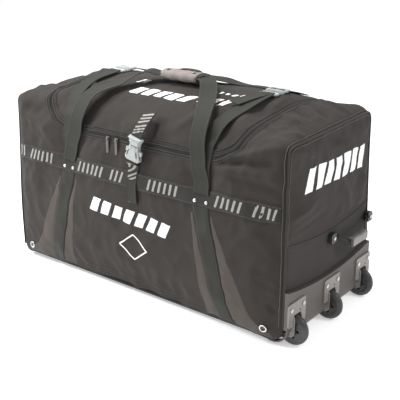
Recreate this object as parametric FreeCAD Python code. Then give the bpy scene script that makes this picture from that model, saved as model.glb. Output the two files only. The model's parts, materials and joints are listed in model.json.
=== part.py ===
# Wheeled hockey equipment bag: a hollow padded box of cloth panels with a zipped lid, webbing handles,
# buckled straps and three inline wheels in moulded housings at one lower end.
# Frame: +X towards the wheel end, -Y is the front, +Z up, origin on the ground under the middle.
import FreeCAD
import Part
import math
import os
from FreeCAD import Vector

# Overall driving dimensions, in millimetres.
LENGTH = 1016.0
DEPTH = 450.0
WALL = 3.0              # lined cloth panel
WEB = 2.0               # webbing thickness
WEB_WIDTH = 50.0
RUNNER_HEIGHT = 10.0    # skid runners under the base
ZIP_Z = 470.0           # front zip line
FRONT_TOP_Z = 548.0     # end panels are highest at the rear
REAR_TOP_Z = 566.0
CROWN_Z = 596.0         # top of the domed lid

END_X = LENGTH / 2
FRONT_Y = -DEPTH / 2
REAR_Y = DEPTH / 2
BASE_Z = RUNNER_HEIGHT
INNER = WALL            # inset of a panel that sits between two others

# Lid opening.
LID_HALF = 372.0
LID_FRONT_HALF = 285.0
LID_Z = ZIP_Z + 5.0
HINGE_Z = 545.0
SHOULDER_Z = 530.0      # top of the straight front and rear walls at the corners

# Webbing band sewn round the front and rear.
BAND_LOW = 343.0
BAND_HIGH = 393.0
STRAP_FOOT_Z = BAND_HIGH - 17.0     # where handle legs and buckled straps leave the band
RIVET_Z = BAND_LOW + 17.0
HANDLE_X = 250.0        # handle legs at the band
SEWN_FOOT_X = 334.0     # the sewn straps splay outwards to the hem
PAD_X = 302.0           # buckled straps where they cross the lid
PAD_WIDTH = 48.0

# Wheels and their housings.
WHEEL_RADIUS = 45.0
WHEEL_WIDTH = 24.0
HUB_RADIUS = 28.0
HUB_WIDTH = 22.0
BEARING_RADIUS = 11.0
BEARING_WIDTH = 7.0
AXLE_RADIUS = 4.0
AXLE_CLEARANCE = 0.05
WHEEL_X = END_X + 6.0
WHEEL_PITCH = 183.0
CHEEK_INNER = 16.0
CHEEK = 4.0
CORNER_RADIUS = 46.0    # moulded lower corner at the wheel end
KICK = 12.0             # the guard stands this far off the end
KICK_WALL = 4.0
KICK_TOP = 162.0
KICK_DIP = 1100.0       # radius of the dip in its top edge
HOUSING_HALF = 42.0
HOUSING_TOP = 130.0
FENDER_GAP = 4.0

# Centre strap and its side-release buckle.
CENTRE_X = 20.0
CENTRE_WEB = 38.0
BUCKLE_WIDTH = 54.0
BUCKLE_TILT = 12.0      # degrees, the top leans towards the wheels
BUCKLE_BACK = FRONT_Y - 19.0
BUCKLE_THICK = 12.0
BUCKLE_LOW = 428.0
BUCKLE_SPLIT = 472.0
BUCKLE_HIGH = 498.0

# Zip sliders.
SLIDER_SIZE = Vector(13.0, 6.0, 12.0)
SLIDER_XS = {"left": -92.0, "right": -58.0}
PULL_LENGTH = 42.0
PULL_WIDTH = 9.0
PULL_PIN = 1.0

# Grab handle on the wheel end.
PULL_NEAR_Y = 8.0
PULL_FAR_Y = 196.0
PULL_PIVOT_X = END_X + 10.0
PULL_PIVOT_Z = 246.0
STUB_RADIUS = 3.5
PULL_DROP = 30.0
PULL_OUT = 20.0
PATCH = 1.5             # second layer of cloth on the wheel end

# Grip that closes round the haul handles.

GRIP_Y = -5.0
GRIP_Z = 625.0
GRIP_HALF = 66.0


def save(name, *solids):
    """Write one named piece, or a group of identical separate solids."""
    shape = solids[0] if len(solids) == 1 else Part.makeCompound(list(solids))
    shape.exportStep("parts/" + name + ".step")


def box(x0, x1, y0, y1, z0, z1):
    return Part.makeBox(x1 - x0, y1 - y0, z1 - z0, Vector(x0, y0, z0))


def cylinder(radius, centre, direction, length):
    return Part.makeCylinder(radius, length, centre - direction * (length / 2), direction)


def rounded_wire(corners, radii, closed=True):
    """Wire through straight corners, each eased by an arc of its own radius."""
    count = len(corners)
    ends = []
    for i, corner in enumerate(corners):
        at_end = not closed and i in (0, count - 1)
        if at_end or radii[i] == 0:
            ends.append((corner, corner, None))
            continue
        back = (corners[i - 1] - corner).normalize()
        ahead = (corners[(i + 1) % count] - corner).normalize()
        half = back.getAngle(ahead) / 2
        reach = radii[i] / math.tan(half)
        middle = (back + ahead).normalize()
        centre = corner + middle * (radii[i] / math.sin(half))
        ends.append((corner + back * reach, corner + ahead * reach, centre - middle * radii[i]))
    edges = []
    for i, (start, stop, apex) in enumerate(ends):
        if apex is not None:
            edges.append(Part.Arc(start, apex, stop).toShape())
        if i < count - 1 or closed:
            following = ends[(i + 1) % count][0]
            edges.append(Part.makeLine(stop, following))
    return Part.Wire(edges)


def prism(corners, radii, direction):
    return Part.Face(rounded_wire(corners, radii)).extrude(direction)


def plate_xz(points, radii, y0, y1):
    """Flat plate whose outline lies in XZ, between two depths."""
    corners = [Vector(x, y0, z) for x, z in points]
    return prism(corners, radii, Vector(0, y1 - y0, 0))


def plate_yz(points, radii, x0, x1):
    corners = [Vector(x0, y, z) for y, z in points]
    return prism(corners, radii, Vector(x1 - x0, 0, 0))


def ribbon(points, width, thickness, samples=18):
    """Webbing through the points: its width lies along X, its thickness on the outer side."""
    curve = Part.BSplineCurve()
    curve.interpolate(points)
    span = curve.LastParameter - curve.FirstParameter
    side = Vector(width / 2, 0, 0)
    rings = []
    for i in range(samples + 1):
        t = curve.FirstParameter + span * i / samples
        centre = curve.value(t)
        normal = curve.tangent(t)[0].cross(Vector(1, 0, 0)).normalize()
        outer = centre - normal * thickness
        rings.append((centre - side, centre + side, outer + side, outer - side))
    faces = [Part.Face(Part.makePolygon(list(rings[0]) + [rings[0][0]]))]
    faces.append(Part.Face(Part.makePolygon(list(rings[-1]) + [rings[-1][0]])))
    for near, far in zip(rings, rings[1:]):
        for k in range(4):
            a, b = near[k], near[(k + 1) % 4]
            c, d = far[(k + 1) % 4], far[k]
            faces.append(Part.Face(Part.makePolygon([a, b, c, a])))
            faces.append(Part.Face(Part.makePolygon([a, c, d, a])))
    solid = Part.makeSolid(Part.makeShell(faces))
    if solid.Volume < 0:
        solid.reverse()
    return solid


def mirrored_x(solid):
    return solid.mirror(Vector(0, 0, 0), Vector(1, 0, 0))


# ---- cloth shell -----------------------------------------------------------------------------

def wall_outline(top_z):
    """Front or rear wall in XZ: the lower corner at the wheel end is cut round for the wheels."""
    points = [(-END_X, BASE_Z), (END_X, BASE_Z), (END_X, top_z), (-END_X, top_z)]
    return points, [22, CORNER_RADIUS, 12, 12]


def front_panel():
    points, radii = wall_outline(SHOULDER_Z)
    panel = plate_xz(points, radii, FRONT_Y, FRONT_Y + WALL)
    return panel.cut(mouth(0, ZIP_Z, FRONT_Y + WALL + 1))


def mouth(inset, low, y1):
    """Front outline of the opening: straight along the zip, then curving up and outwards."""
    top_half = LID_HALF - inset
    top = SHOULDER_Z + 40
    points = [(-LID_FRONT_HALF, low), (LID_FRONT_HALF, low), (top_half, top), (top_half, top + 60),
              (-top_half, top + 60), (-top_half, top)]
    return plate_xz(points, [60, 60, 0, 0, 0, 0], FRONT_Y - 1, y1)


def rear_panel():
    points, radii = wall_outline(HINGE_Z - 5)
    return plate_xz(points, radii, REAR_Y - WALL, REAR_Y)


def end_outline(inset=0.0, low=BASE_Z):
    y0 = FRONT_Y + inset
    y1 = REAR_Y - inset
    points = [(y0, low), (y1, low), (y1, REAR_TOP_Z - inset), (y0, FRONT_TOP_Z - inset)]
    return points, [0, 0, 45 - inset, 35 - inset]


def left_end_panel():
    points, radii = end_outline(INNER)
    return plate_yz(points, radii, -END_X, -END_X + WALL)


def wheel_end_panel():
    points, radii = end_outline(INNER, BASE_Z + CORNER_RADIUS)
    panel = plate_yz(points, radii, END_X - WALL, END_X)
    return panel.cut(wheel_slots(HOUSING_TOP - 20))


def top_gusset():
    """Fixed arch of cloth between the wheel end and the lid."""
    outer, outer_radii = end_outline()
    inner, inner_radii = end_outline(WALL)
    x0, x1 = LID_HALF + 2, END_X - WALL - 0.2
    arch = plate_yz(outer, outer_radii, x0, x1).cut(plate_yz(inner, inner_radii, x0 - 1, x1 + 1))
    front = arch.common(box(x0, x1, FRONT_Y, 0, SHOULDER_Z + 0.2, REAR_TOP_Z + 1))
    return front.fuse(arch.common(box(x0, x1, 0, REAR_Y, HINGE_Z - 4.8, REAR_TOP_Z + 1))).removeSplitter()


def base_panel():
    return box(-END_X + WALL, END_X - CORNER_RADIUS, FRONT_Y + WALL, REAR_Y - WALL, BASE_Z, BASE_Z + WALL)


def base_board():
    low = BASE_Z + WALL
    return box(-END_X + 8, END_X - CORNER_RADIUS - 18, FRONT_Y + 8, REAR_Y - 8, low, low + 4)


def lid_outline(inset=0.0):
    front = FRONT_Y + 1 + inset
    rear = REAR_Y - 9 - inset
    points = [(front, LID_Z - 30), (front, LID_Z), (-178 + inset, 562 - inset), (40, CROWN_Z + 3 - inset),
              (rear, 562 - inset), (rear, LID_Z - 30)]
    return points, [0, 30, 60, 300, 30, 0]


def lid_panel():
    outer, outer_radii = lid_outline()
    inner, inner_radii = lid_outline(WALL)
    dome = plate_yz(outer, outer_radii, -LID_HALF, LID_HALF)
    dome = dome.cut(plate_yz(inner, inner_radii, -LID_HALF - 1, LID_HALF + 1))
    split = -120
    front = dome.common(mouth(4, LID_Z, split))
    rear = dome.common(box(-LID_HALF, LID_HALF, split, REAR_Y, HINGE_Z, CROWN_Z + 4))
    return front.fuse(rear).removeSplitter()


def lid_zip_tape():
    return box(-LID_FRONT_HALF + 25, LID_FRONT_HALF - 25, FRONT_Y - 1.4, FRONT_Y + 0.4, LID_Z, LID_Z + 12)


def body_zip_tape():
    return box(-LID_FRONT_HALF + 25, LID_FRONT_HALF - 25, FRONT_Y - 1.8, FRONT_Y, ZIP_Z - 14, ZIP_Z + 3)


# ---- trim sewn to the cloth ------------------------------------------------------------------

def band(front):
    y0 = FRONT_Y - WEB if front else REAR_Y
    return box(-END_X + 8, END_X - 8, y0, y0 + WEB, BAND_LOW, BAND_HIGH)


def sewn_strap(front):
    half = WEB_WIDTH / 2
    points = [(SEWN_FOOT_X - half, BASE_Z + 4), (SEWN_FOOT_X + half, BASE_Z + 4),
              (HANDLE_X + half, BAND_LOW - 0.5), (HANDLE_X - half, BAND_LOW - 0.5)]
    y0 = FRONT_Y - WEB if front else REAR_Y
    return plate_xz(points, [0, 0, 0, 0], y0, y0 + WEB)


def outer_insert():
    """Pointed cloth insert outside a sewn strap, widening to a corner patch at the hem."""
    points = [(SEWN_FOOT_X + 27, BASE_Z + 5), (END_X - 18, BASE_Z + 5), (END_X - 8, 92), (440, 88),
              (365, 205), (HANDLE_X + 38, 322)]
    return plate_xz(points, [0, 30, 0, 0, 300, 0], FRONT_Y - 1, FRONT_Y)


def inner_insert():
    points = [(SEWN_FOOT_X - 72, BASE_Z + 5), (SEWN_FOOT_X - 27, BASE_Z + 5), (HANDLE_X - 24, 322)]
    return plate_xz(points, [0, 0, 0], FRONT_Y - 1, FRONT_Y)


def rivets():
    studs = []
    for x in (HANDLE_X - 18, HANDLE_X + 18):
        for side in (-1, 1):
            for y in (FRONT_Y - WEB - 0.8, REAR_Y + WEB + 0.8):
                studs.append(cylinder(4.5, Vector(side * x, y, RIVET_Z), Vector(0, 1, 0), 1.6))
    return studs


def grommets():
    rings = []
    for side in (-1, 1):
        for y in (FRONT_Y - 2, REAR_Y + 2):
            centre = Vector(side * 456, y, 48)
            ring = cylinder(12, centre, Vector(0, 1, 0), 2)
            rings.append(ring.cut(cylinder(6.5, centre, Vector(0, 1, 0), 4)))
    return rings


def end_piping(x):
    """Corded edge round an end panel, lying just outside the seam."""
    rise = 2.4
    radius = 3.0
    y0, y1 = FRONT_Y - rise, REAR_Y + rise
    corners = [Vector(x, y0, BASE_Z + CORNER_RADIUS), Vector(x, y0, FRONT_TOP_Z + rise),
               Vector(x, y1, REAR_TOP_Z + rise), Vector(x, y1, BASE_Z + CORNER_RADIUS)]
    path = rounded_wire(corners, [0, 35 + rise, 45 + rise, 0], closed=False)
    profile = Part.Wire(Part.makeCircle(radius, corners[0], Vector(0, 0, 1)))
    return path.makePipeShell([profile], True, False)


# ---- wheel end -------------------------------------------------------------------------------

def wheel_ys():
    return {"front": -WHEEL_PITCH, "middle": 0.0, "rear": WHEEL_PITCH}


def wheel_slots(top):
    """Clearance through the corner for each housing."""
    reach = CHEEK_INNER + CHEEK + 3.5
    slots = [box(END_X - 70, END_X + 40, y - reach, y + reach, 0, top) for y in wheel_ys().values()]
    return slots[0].fuse(slots[1:])


def end_patch():
    """Second layer of heavy cloth on the wheel end, its top edge dipping towards the middle."""
    low = BASE_Z + CORNER_RADIUS + 60
    face = plate_yz([(FRONT_Y + 5, low), (REAR_Y - 5, low), (REAR_Y - 5, 292), (FRONT_Y + 5, 292)],
                    [0, 0, 0, 0], END_X, END_X + PATCH)
    dip = cylinder(1100, Vector(END_X, 0, 1367), Vector(1, 0, 0), 20)
    return face.cut(dip).cut(kick_panel_blank(1))


def kick_panel_blank(grow=0, inset=0.0):
    """Upright part of the guard, or with an inset the hollow behind it."""
    low = BASE_Z + CORNER_RADIUS - 2 * inset
    half = DEPTH / 2 - 1 - inset + grow
    upright = box(END_X - inset, END_X + KICK - inset, -half, half, low, KICK_TOP - inset)
    dip = cylinder(KICK_DIP, Vector(END_X, 0, KICK_TOP - 22 + KICK_DIP + grow - inset), Vector(1, 0, 0), 60)
    return upright.cut(dip)


def kick_panel():
    """Moulded abrasion guard: a shallow upright tray and the rounded corner under it."""
    low = BASE_Z + CORNER_RADIUS
    axis = Vector(0, 1, 0)
    side = DEPTH / 2 - 4
    start = Vector(END_X + KICK - CORNER_RADIUS, -side, low)
    outer = Part.makeCylinder(CORNER_RADIUS, 2 * side, start, axis)
    ring = outer.cut(Part.makeCylinder(CORNER_RADIUS - KICK_WALL, 2 * side, start, axis))
    quarter = box(start.x, END_X + KICK, -side, side, BASE_Z, low)
    foot = box(END_X - CORNER_RADIUS + 0.2, start.x, -side, side, BASE_Z, BASE_Z + KICK_WALL)
    tray = kick_panel_blank().cut(kick_panel_blank(inset=KICK_WALL))
    return tray.fuse([ring.common(quarter), foot]).cut(wheel_slots(HOUSING_TOP - 20))


def wheel_housing(y):
    """Face plate, two cheeks that carry the axle, and a roof over the wheel."""
    face_x = END_X + KICK
    outer = CHEEK_INNER + CHEEK
    plate = plate_yz([(y - HOUSING_HALF, 62), (y + HOUSING_HALF, 62), (y + HOUSING_HALF, HOUSING_TOP),
                      (y - HOUSING_HALF, HOUSING_TOP)], [8, 8, 7, 7], face_x, face_x + 4)
    centre = Vector(WHEEL_X, y, WHEEL_RADIUS)
    axis = Vector(0, 1, 0)
    inner_r = WHEEL_RADIUS + FENDER_GAP
    profile = [(END_X - 46, 29), (END_X + 20, 29), (END_X + 20, 90), (END_X - 28, 106), (END_X - 46, 96)]
    radii = [8, 12, 14, 12, 8]
    sides = [plate_xz(profile, radii, y - outer, y - CHEEK_INNER),
             plate_xz(profile, radii, y + CHEEK_INNER, y + outer)]
    roof = cylinder(inner_r + 3, centre, axis, 2 * outer)
    roof = roof.cut(cylinder(inner_r, centre, axis, 2 * outer + 2))
    roof = roof.common(box(END_X - 36, face_x + 4, y - outer, y + outer, 60, 120))
    well = cylinder(inner_r, centre, axis, 2 * CHEEK_INNER)
    drain = cylinder(3, Vector(face_x, y + 13, 100), Vector(1, 0, 0), 20)
    shape = plate.fuse([sides[0], sides[1], roof]).cut(well).cut(drain)
    return shape.cut(cylinder(AXLE_RADIUS, centre, axis, 2 * outer + 2)).removeSplitter()


def housing_screws():
    """Pan-head screws: two in each housing and one in each handle anchor."""
    heads = []
    for y in wheel_ys().values():
        for side in (-1, 1):
            centre = Vector(END_X + KICK + 5.2, y + side * 30, HOUSING_TOP - 18)
            heads.append(cylinder(6, centre, Vector(1, 0, 0), 2.4))
    for y in (PULL_NEAR_Y - 12, PULL_FAR_Y + 12):
        centre = Vector(PULL_PIVOT_X + 7.2, y, PULL_PIVOT_Z - 2)
        heads.append(cylinder(5, centre, Vector(1, 0, 0), 2.4))
    return heads


def tyre(y):
    """Rounded tread on a flat seat round the hub."""
    half = WHEEL_WIDTH / 2
    crown = WHEEL_RADIUS
    lip = HUB_RADIUS + 5
    points = [Vector(0, -half + 1, HUB_RADIUS), Vector(0, half - 1, HUB_RADIUS), Vector(0, half, lip),
              Vector(0, half, crown - 8), Vector(0, 5, crown), Vector(0, -5, crown),
              Vector(0, -half, crown - 8), Vector(0, -half, lip)]
    face = Part.Face(rounded_wire(points, [0, 0, 3, 5, 8, 8, 5, 3]))
    ring = face.revolve(Vector(0, 0, 0), Vector(0, 1, 0), 360)
    ring.translate(Vector(WHEEL_X, y, WHEEL_RADIUS))
    return ring


def hub(y):
    """Five-spoked hub with a bearing seat in each face."""
    centre = Vector(WHEEL_X, y, WHEEL_RADIUS)
    axis = Vector(0, 1, 0)
    body = cylinder(HUB_RADIUS, centre, axis, HUB_WIDTH)
    for i in range(5):
        angle = 2 * math.pi * i / 5
        at = centre + Vector(math.cos(angle), 0, math.sin(angle)) * 19.5
        body = body.cut(cylinder(4.4, at, axis, HUB_WIDTH + 2))
    body = body.cut(cylinder(AXLE_RADIUS + 3, centre, axis, HUB_WIDTH + 2))
    for side in (-1, 1):
        seat = centre + Vector(0, side * (HUB_WIDTH - BEARING_WIDTH) / 2, 0)
        body = body.cut(cylinder(BEARING_RADIUS, seat, axis, BEARING_WIDTH))
    return body


def bearings(y):
    rings = []
    for side in (-1, 1):
        centre = Vector(WHEEL_X, y + side * (HUB_WIDTH - BEARING_WIDTH) / 2, WHEEL_RADIUS)
        ring = cylinder(BEARING_RADIUS, centre, Vector(0, 1, 0), BEARING_WIDTH)
        rings.append(ring.cut(cylinder(AXLE_RADIUS + AXLE_CLEARANCE, centre, Vector(0, 1, 0), 20)))
    return rings


def axle(y):
    """Bolt through both cheeks, with a spacing collar each side of the hub and a head each end."""
    centre = Vector(WHEEL_X, y, WHEEL_RADIUS)
    axis = Vector(0, 1, 0)
    outer = CHEEK_INNER + CHEEK
    pin = cylinder(AXLE_RADIUS, centre, axis, 2 * outer)
    extras = []
    for side in (-1, 1):
        extras.append(cylinder(6, centre + Vector(0, side * 13.7, 0), axis, 4.6))
        extras.append(cylinder(7, centre + Vector(0, side * (outer + 1.5), 0), axis, 3))
    return pin.fuse(extras)


def handle_anchors():
    """Two moulded lugs on the wheel end, each with a stub that the grab handle's strap turns on."""
    lugs = []
    x0 = END_X + PATCH
    for y, side in ((PULL_NEAR_Y, -1), (PULL_FAR_Y, 1)):
        z = PULL_PIVOT_Z
        inner, outer = sorted((y, y + side * 26))
        pad = plate_yz([(inner, z - 16), (outer, z - 16), (outer, z + 12), (inner, z + 12)],
                       [4, 8, 8, 4] if side > 0 else [8, 4, 4, 8], x0, PULL_PIVOT_X + 6)
        stub = cylinder(STUB_RADIUS, Vector(PULL_PIVOT_X, y - side * 6, z), Vector(0, 1, 0), 14)
        lugs.append(pad.fuse(stub))
    return lugs


def pull_strap():
    """Webbing loop of the grab handle: hangs from both stubs and carries the grip."""
    x0 = PULL_PIVOT_X
    straps = []
    for y, side in ((PULL_NEAR_Y, 1), (PULL_FAR_Y, -1)):
        centre = Vector(x0, y + side * 7, PULL_PIVOT_Z)
        eye = cylinder(7, centre, Vector(0, 1, 0), 10)
        straps.append(eye.cut(cylinder(STUB_RADIUS + AXLE_CLEARANCE, centre, Vector(0, 1, 0), 30)))
    low = PULL_PIVOT_Z - PULL_DROP
    x1 = x0 + PULL_OUT
    ends = (PULL_NEAR_Y + 7, PULL_FAR_Y - 7)
    legs = []
    for y, side in zip(ends, (1, -1)):
        corners = [Vector(x0 + 2, y - 5, PULL_PIVOT_Z - 5), Vector(x0 + 2, y + 5, PULL_PIVOT_Z - 5),
                   Vector(x1, y + side * 34 + 5, low), Vector(x1, y + side * 34 - 5, low)]
        near = Part.makePolygon(corners + [corners[0]])
        legs.append(Part.Face(near).extrude(Vector(3, 0, 3)))
    bar = box(x1, x1 + 3, ends[0] + 30, ends[1] - 30, low - 9, low + 9)
    return straps[0].fuse(straps[1:] + legs + [bar])


def pull_grip():
    """Light plastic grip round the middle of the webbing loop."""
    x0 = PULL_PIVOT_X + PULL_OUT
    low = PULL_PIVOT_Z - PULL_DROP
    ya, yb = PULL_NEAR_Y + 52, PULL_FAR_Y - 52
    body = plate_xz([(x0 - 7, low - 14), (x0 + 12, low - 14), (x0 + 12, low + 14), (x0 - 7, low + 14)],
                    [6, 6, 6, 6], ya, yb)
    return body.cut(box(x0 - 0.4, x0 + 3.4, ya - 1, yb + 1, low - 9.4, low + 9.4))


def runner(y):
    """Hard plastic skid runner under the base."""
    return box(-END_X + 36, END_X - 80, y - 11, y + 11, 0, RUNNER_HEIGHT)


# ---- closures --------------------------------------------------------------------------------

def tilted(shape):
    """Lean a piece of the centre buckle about the bottom of the buckle."""
    return shape.rotate(Vector(CENTRE_X, 0, BUCKLE_LOW), Vector(0, 1, 0), BUCKLE_TILT)


def centre_female():
    half = BUCKLE_WIDTH / 2
    y0, y1 = BUCKLE_BACK - BUCKLE_THICK, BUCKLE_BACK
    body = plate_xz([(CENTRE_X - half, BUCKLE_LOW), (CENTRE_X + half, BUCKLE_LOW),
                     (CENTRE_X + half - 4, BUCKLE_SPLIT), (CENTRE_X - half + 4, BUCKLE_SPLIT)],
                    [8, 8, 4, 4], y0, y1)
    pocket = box(CENTRE_X - 19, CENTRE_X + 19, y0 + 2.5, y1 - 2.5, BUCKLE_LOW + 14, BUCKLE_SPLIT + 1)
    windows = box(CENTRE_X - 30, CENTRE_X + 30, y0 + 2.5, y1 - 2.5, BUCKLE_LOW + 20, BUCKLE_SPLIT - 8)
    slot = box(CENTRE_X - 20, CENTRE_X + 20, y0 - 1, y1 + 1, BUCKLE_LOW + 5, BUCKLE_LOW + 10)
    return tilted(body.cut(pocket).cut(windows).cut(slot))


def centre_male():
    half = BUCKLE_WIDTH / 2
    y0, y1 = BUCKLE_BACK - BUCKLE_THICK, BUCKLE_BACK
    frame = plate_xz([(CENTRE_X - half + 4, BUCKLE_SPLIT + 0.6), (CENTRE_X + half - 4, BUCKLE_SPLIT + 0.6),
                      (CENTRE_X + half, BUCKLE_HIGH), (CENTRE_X - half, BUCKLE_HIGH)],
                     [3, 3, 8, 8], y0, y1)
    slot = box(CENTRE_X - 20, CENTRE_X + 20, y0 - 1, y1 + 1, BUCKLE_HIGH - 11, BUCKLE_HIGH - 6)
    tongue = box(CENTRE_X - 4, CENTRE_X + 4, y0 + 3.5, y1 - 3.5, BUCKLE_LOW + 18, BUCKLE_SPLIT + 2)
    return tilted(frame.cut(slot).fuse(tongue))


def release_arm(side):
    """Springy arm of the male half; its pad stands out of the side window and is pressed inwards."""
    y0, y1 = BUCKLE_BACK - BUCKLE_THICK + 3, BUCKLE_BACK - 3
    arm = box(11, 15, y0, y1, BUCKLE_LOW + 22, BUCKLE_SPLIT + 0.2)
    pad = box(15, 28, y0, y1, BUCKLE_LOW + 22, BUCKLE_SPLIT - 10)
    shape = arm.fuse(pad)
    if side < 0:
        shape = mirrored_x(shape)
    shape.translate(Vector(CENTRE_X, 0, 0))
    return tilted(shape)


def centre_strap_lower():
    """Webbing sewn down the front, over the band and up into the bottom bar of the buckle."""
    y = FRONT_Y - WEB - 0.6
    points = [Vector(12, y, 300), Vector(12, y, 340), Vector(12, y, 375), Vector(12, y - 1.5, 395),
              Vector(15, y - 9, 412), Vector(CENTRE_X - 2, BUCKLE_BACK - 5, BUCKLE_LOW - 5)]
    return ribbon(points, CENTRE_WEB, WEB)


def centre_strap_upper():
    """Webbing from the top bar of the buckle back over the sloping front of the lid."""
    lean = math.tan(math.radians(BUCKLE_TILT)) * (BUCKLE_HIGH - BUCKLE_LOW)
    points = [Vector(CENTRE_X + lean + 2, BUCKLE_BACK - 5, BUCKLE_HIGH + 5),
              Vector(CENTRE_X + lean + 4, BUCKLE_BACK + 1, BUCKLE_HIGH + 22),
              Vector(CENTRE_X + lean + 6, -213, 547), Vector(CENTRE_X + lean + 8, -196, 560)]
    return ribbon(points, CENTRE_WEB, WEB)


def slider(x):
    """Zip slider with a small bridge that holds the pull tab."""
    y1 = FRONT_Y - 2.2
    y0 = y1 - SLIDER_SIZE.y
    half = SLIDER_SIZE.x / 2
    body = box(x - half, x + half, y0 + 2, y1, ZIP_Z + 4 - SLIDER_SIZE.z, ZIP_Z + 4)
    bridge = box(x - 2, x + 2, y0 - 3.6, y0 + 2.5, ZIP_Z - 5, ZIP_Z + 1)
    pivot = Vector(x, pull_pivot_y(), ZIP_Z - 2)
    return body.fuse(bridge).cut(cylinder(PULL_PIN + AXLE_CLEARANCE, pivot, Vector(1, 0, 0), 6))


def pull_pivot_y():
    return FRONT_Y - 2.2 - SLIDER_SIZE.y - 1.2


def pull_tab(x):
    """Pull tab hanging from the slider's bridge on a cross pin."""
    y = pull_pivot_y()
    half = PULL_WIDTH / 2
    z = ZIP_Z - 2
    leaf = plate_xz([(x - half, z - PULL_LENGTH), (x + half, z - PULL_LENGTH), (x + half, z + 2),
                     (x - half, z + 2)], [4, 4, 1, 1], y - 1, y + 1)
    leaf = leaf.cut(box(x - 2.6, x + 2.6, y - 3, y + 3, z - 6, z + 4))
    return leaf.fuse(cylinder(PULL_PIN, Vector(x, y, z), Vector(1, 0, 0), PULL_WIDTH - 2))


def pad_height(y):
    """Height just above the lid where the buckled straps lie."""
    return CROWN_Z + 8 - 0.0009 * (y - 40) ** 2


def pad_strap_front(side):
    """Front half of a buckled strap: from the band, under the handle leg, then out over the lid to its buckle."""
    x = side * PAD_X
    foot = side * (HANDLE_X + 1)
    points = [Vector(foot, FRONT_Y - WEB - 0.3, STRAP_FOOT_Z), Vector(foot, FRONT_Y - 3.2, ZIP_Z - 40),
              Vector(foot + side * 2, FRONT_Y + 0.5, ZIP_Z + 30), Vector(foot + side * 15, -190, 556),
              Vector(x - side * 12, -90, pad_height(-90)), Vector(x - side * 16, 4, pad_height(4))]
    return ribbon(points, PAD_WIDTH, WEB)


def pad_buckle(side, y0, y1, slot_y):
    x = side * (PAD_X - 16)
    z = pad_height(y0)
    half = 31
    corners = [Vector(x - half, y0, z - 4), Vector(x + half, y0, z - 4),
               Vector(x + half, y1, z - 4), Vector(x - half, y1, z - 4)]
    body = prism(corners, [5, 5, 5, 5], Vector(0, 0, 12))
    return body.cut(box(x - 25.5, x + 25.5, slot_y, slot_y + 6, z - 5, z + 9))


def pad_male(side):
    return pad_buckle(side, 6, 32, 10)


def pad_female(side):
    return pad_buckle(side, 32.6, 84, 72)


def pad_strap_rear(side):
    """Rear half of a buckled strap, sewn to the back of the lid."""
    x = side * (PAD_X - 16)
    points = [Vector(x, 86, pad_height(86)), Vector(x, 130, pad_height(130) - 2), Vector(x, 180, 580),
              Vector(x, 206, 572)]
    return ribbon(points, PAD_WIDTH, WEB, 8)


# ---- haul handles ----------------------------------------------------------------------------

def front_handle():
    """Webbing loop from the front band, up both sides of the lid and across through the grip."""
    leg = [Vector(HANDLE_X, FRONT_Y - WEB - 2.8, STRAP_FOOT_Z), Vector(HANDLE_X - 10, FRONT_Y - 7.5, ZIP_Z - 30),
           Vector(HANDLE_X - 18, FRONT_Y - 4, 520), Vector(212, -190, 584), Vector(150, -90, 610),
           Vector(GRIP_HALF + 26, GRIP_Y, GRIP_Z)]
    right = ribbon(leg, WEB_WIDTH, WEB)
    bar = box(-GRIP_HALF - 30, GRIP_HALF + 30, GRIP_Y - 22, GRIP_Y + 22, GRIP_Z - WEB / 2, GRIP_Z + WEB / 2)
    return right.fuse([mirrored_x(right), bar])


def grip_wrap():
    """Padded sleeve that closes round the middle of the front handle."""
    corners = [(GRIP_Y - 29, GRIP_Z - 16), (GRIP_Y + 29, GRIP_Z - 16), (GRIP_Y + 29, GRIP_Z + 16),
               (GRIP_Y - 29, GRIP_Z + 16)]
    sleeve = plate_yz(corners, [14, 14, 14, 14], -GRIP_HALF, GRIP_HALF)
    return sleeve.cut(box(-GRIP_HALF - 1, GRIP_HALF + 1, GRIP_Y - 22.3, GRIP_Y + 22.3, GRIP_Z - 1.4, GRIP_Z + 1.4))


def grip_snaps():
    """Press studs that close the sleeve along its front edge."""
    studs = []
    for x in (-48, 48):
        studs.append(cylinder(6, Vector(x, GRIP_Y - 10, GRIP_Z + 17), Vector(0, 0, 1), 2))
    return studs


def rear_handle():
    """Matching loop from the rear band; its middle lies just behind the grip."""
    y = GRIP_Y + 60
    leg = [Vector(HANDLE_X, REAR_Y + WEB + 1, STRAP_FOOT_Z), Vector(HANDLE_X, REAR_Y + WEB + 2, 420),
           Vector(HANDLE_X - 2, REAR_Y + 5, 480), Vector(HANDLE_X - 8, REAR_Y + 8, 540),
           Vector(205, REAR_Y - 28, 590), Vector(150, 110, 612), Vector(GRIP_HALF + 20, y, GRIP_Z - 8)]
    leg.reverse()
    right = ribbon(leg, WEB_WIDTH, WEB)
    bar = box(-GRIP_HALF - 24, GRIP_HALF + 24, y - 15, y + 15, GRIP_Z - 9, GRIP_Z - 7)
    return right.fuse([mirrored_x(right), bar])


def rear_handle_fold():
    """Stitched doubled webbing at the middle of the rear handle."""
    y = GRIP_Y + 60
    z = GRIP_Z - 8
    fold = plate_yz([(y - 20, z - 5), (y + 20, z - 5), (y + 20, z + 5), (y - 20, z + 5)], [4, 4, 4, 4], -42, 42)
    return fold.cut(box(-43, 43, y - 15.3, y + 15.3, z - 1.4, z + 1.4))


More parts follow.
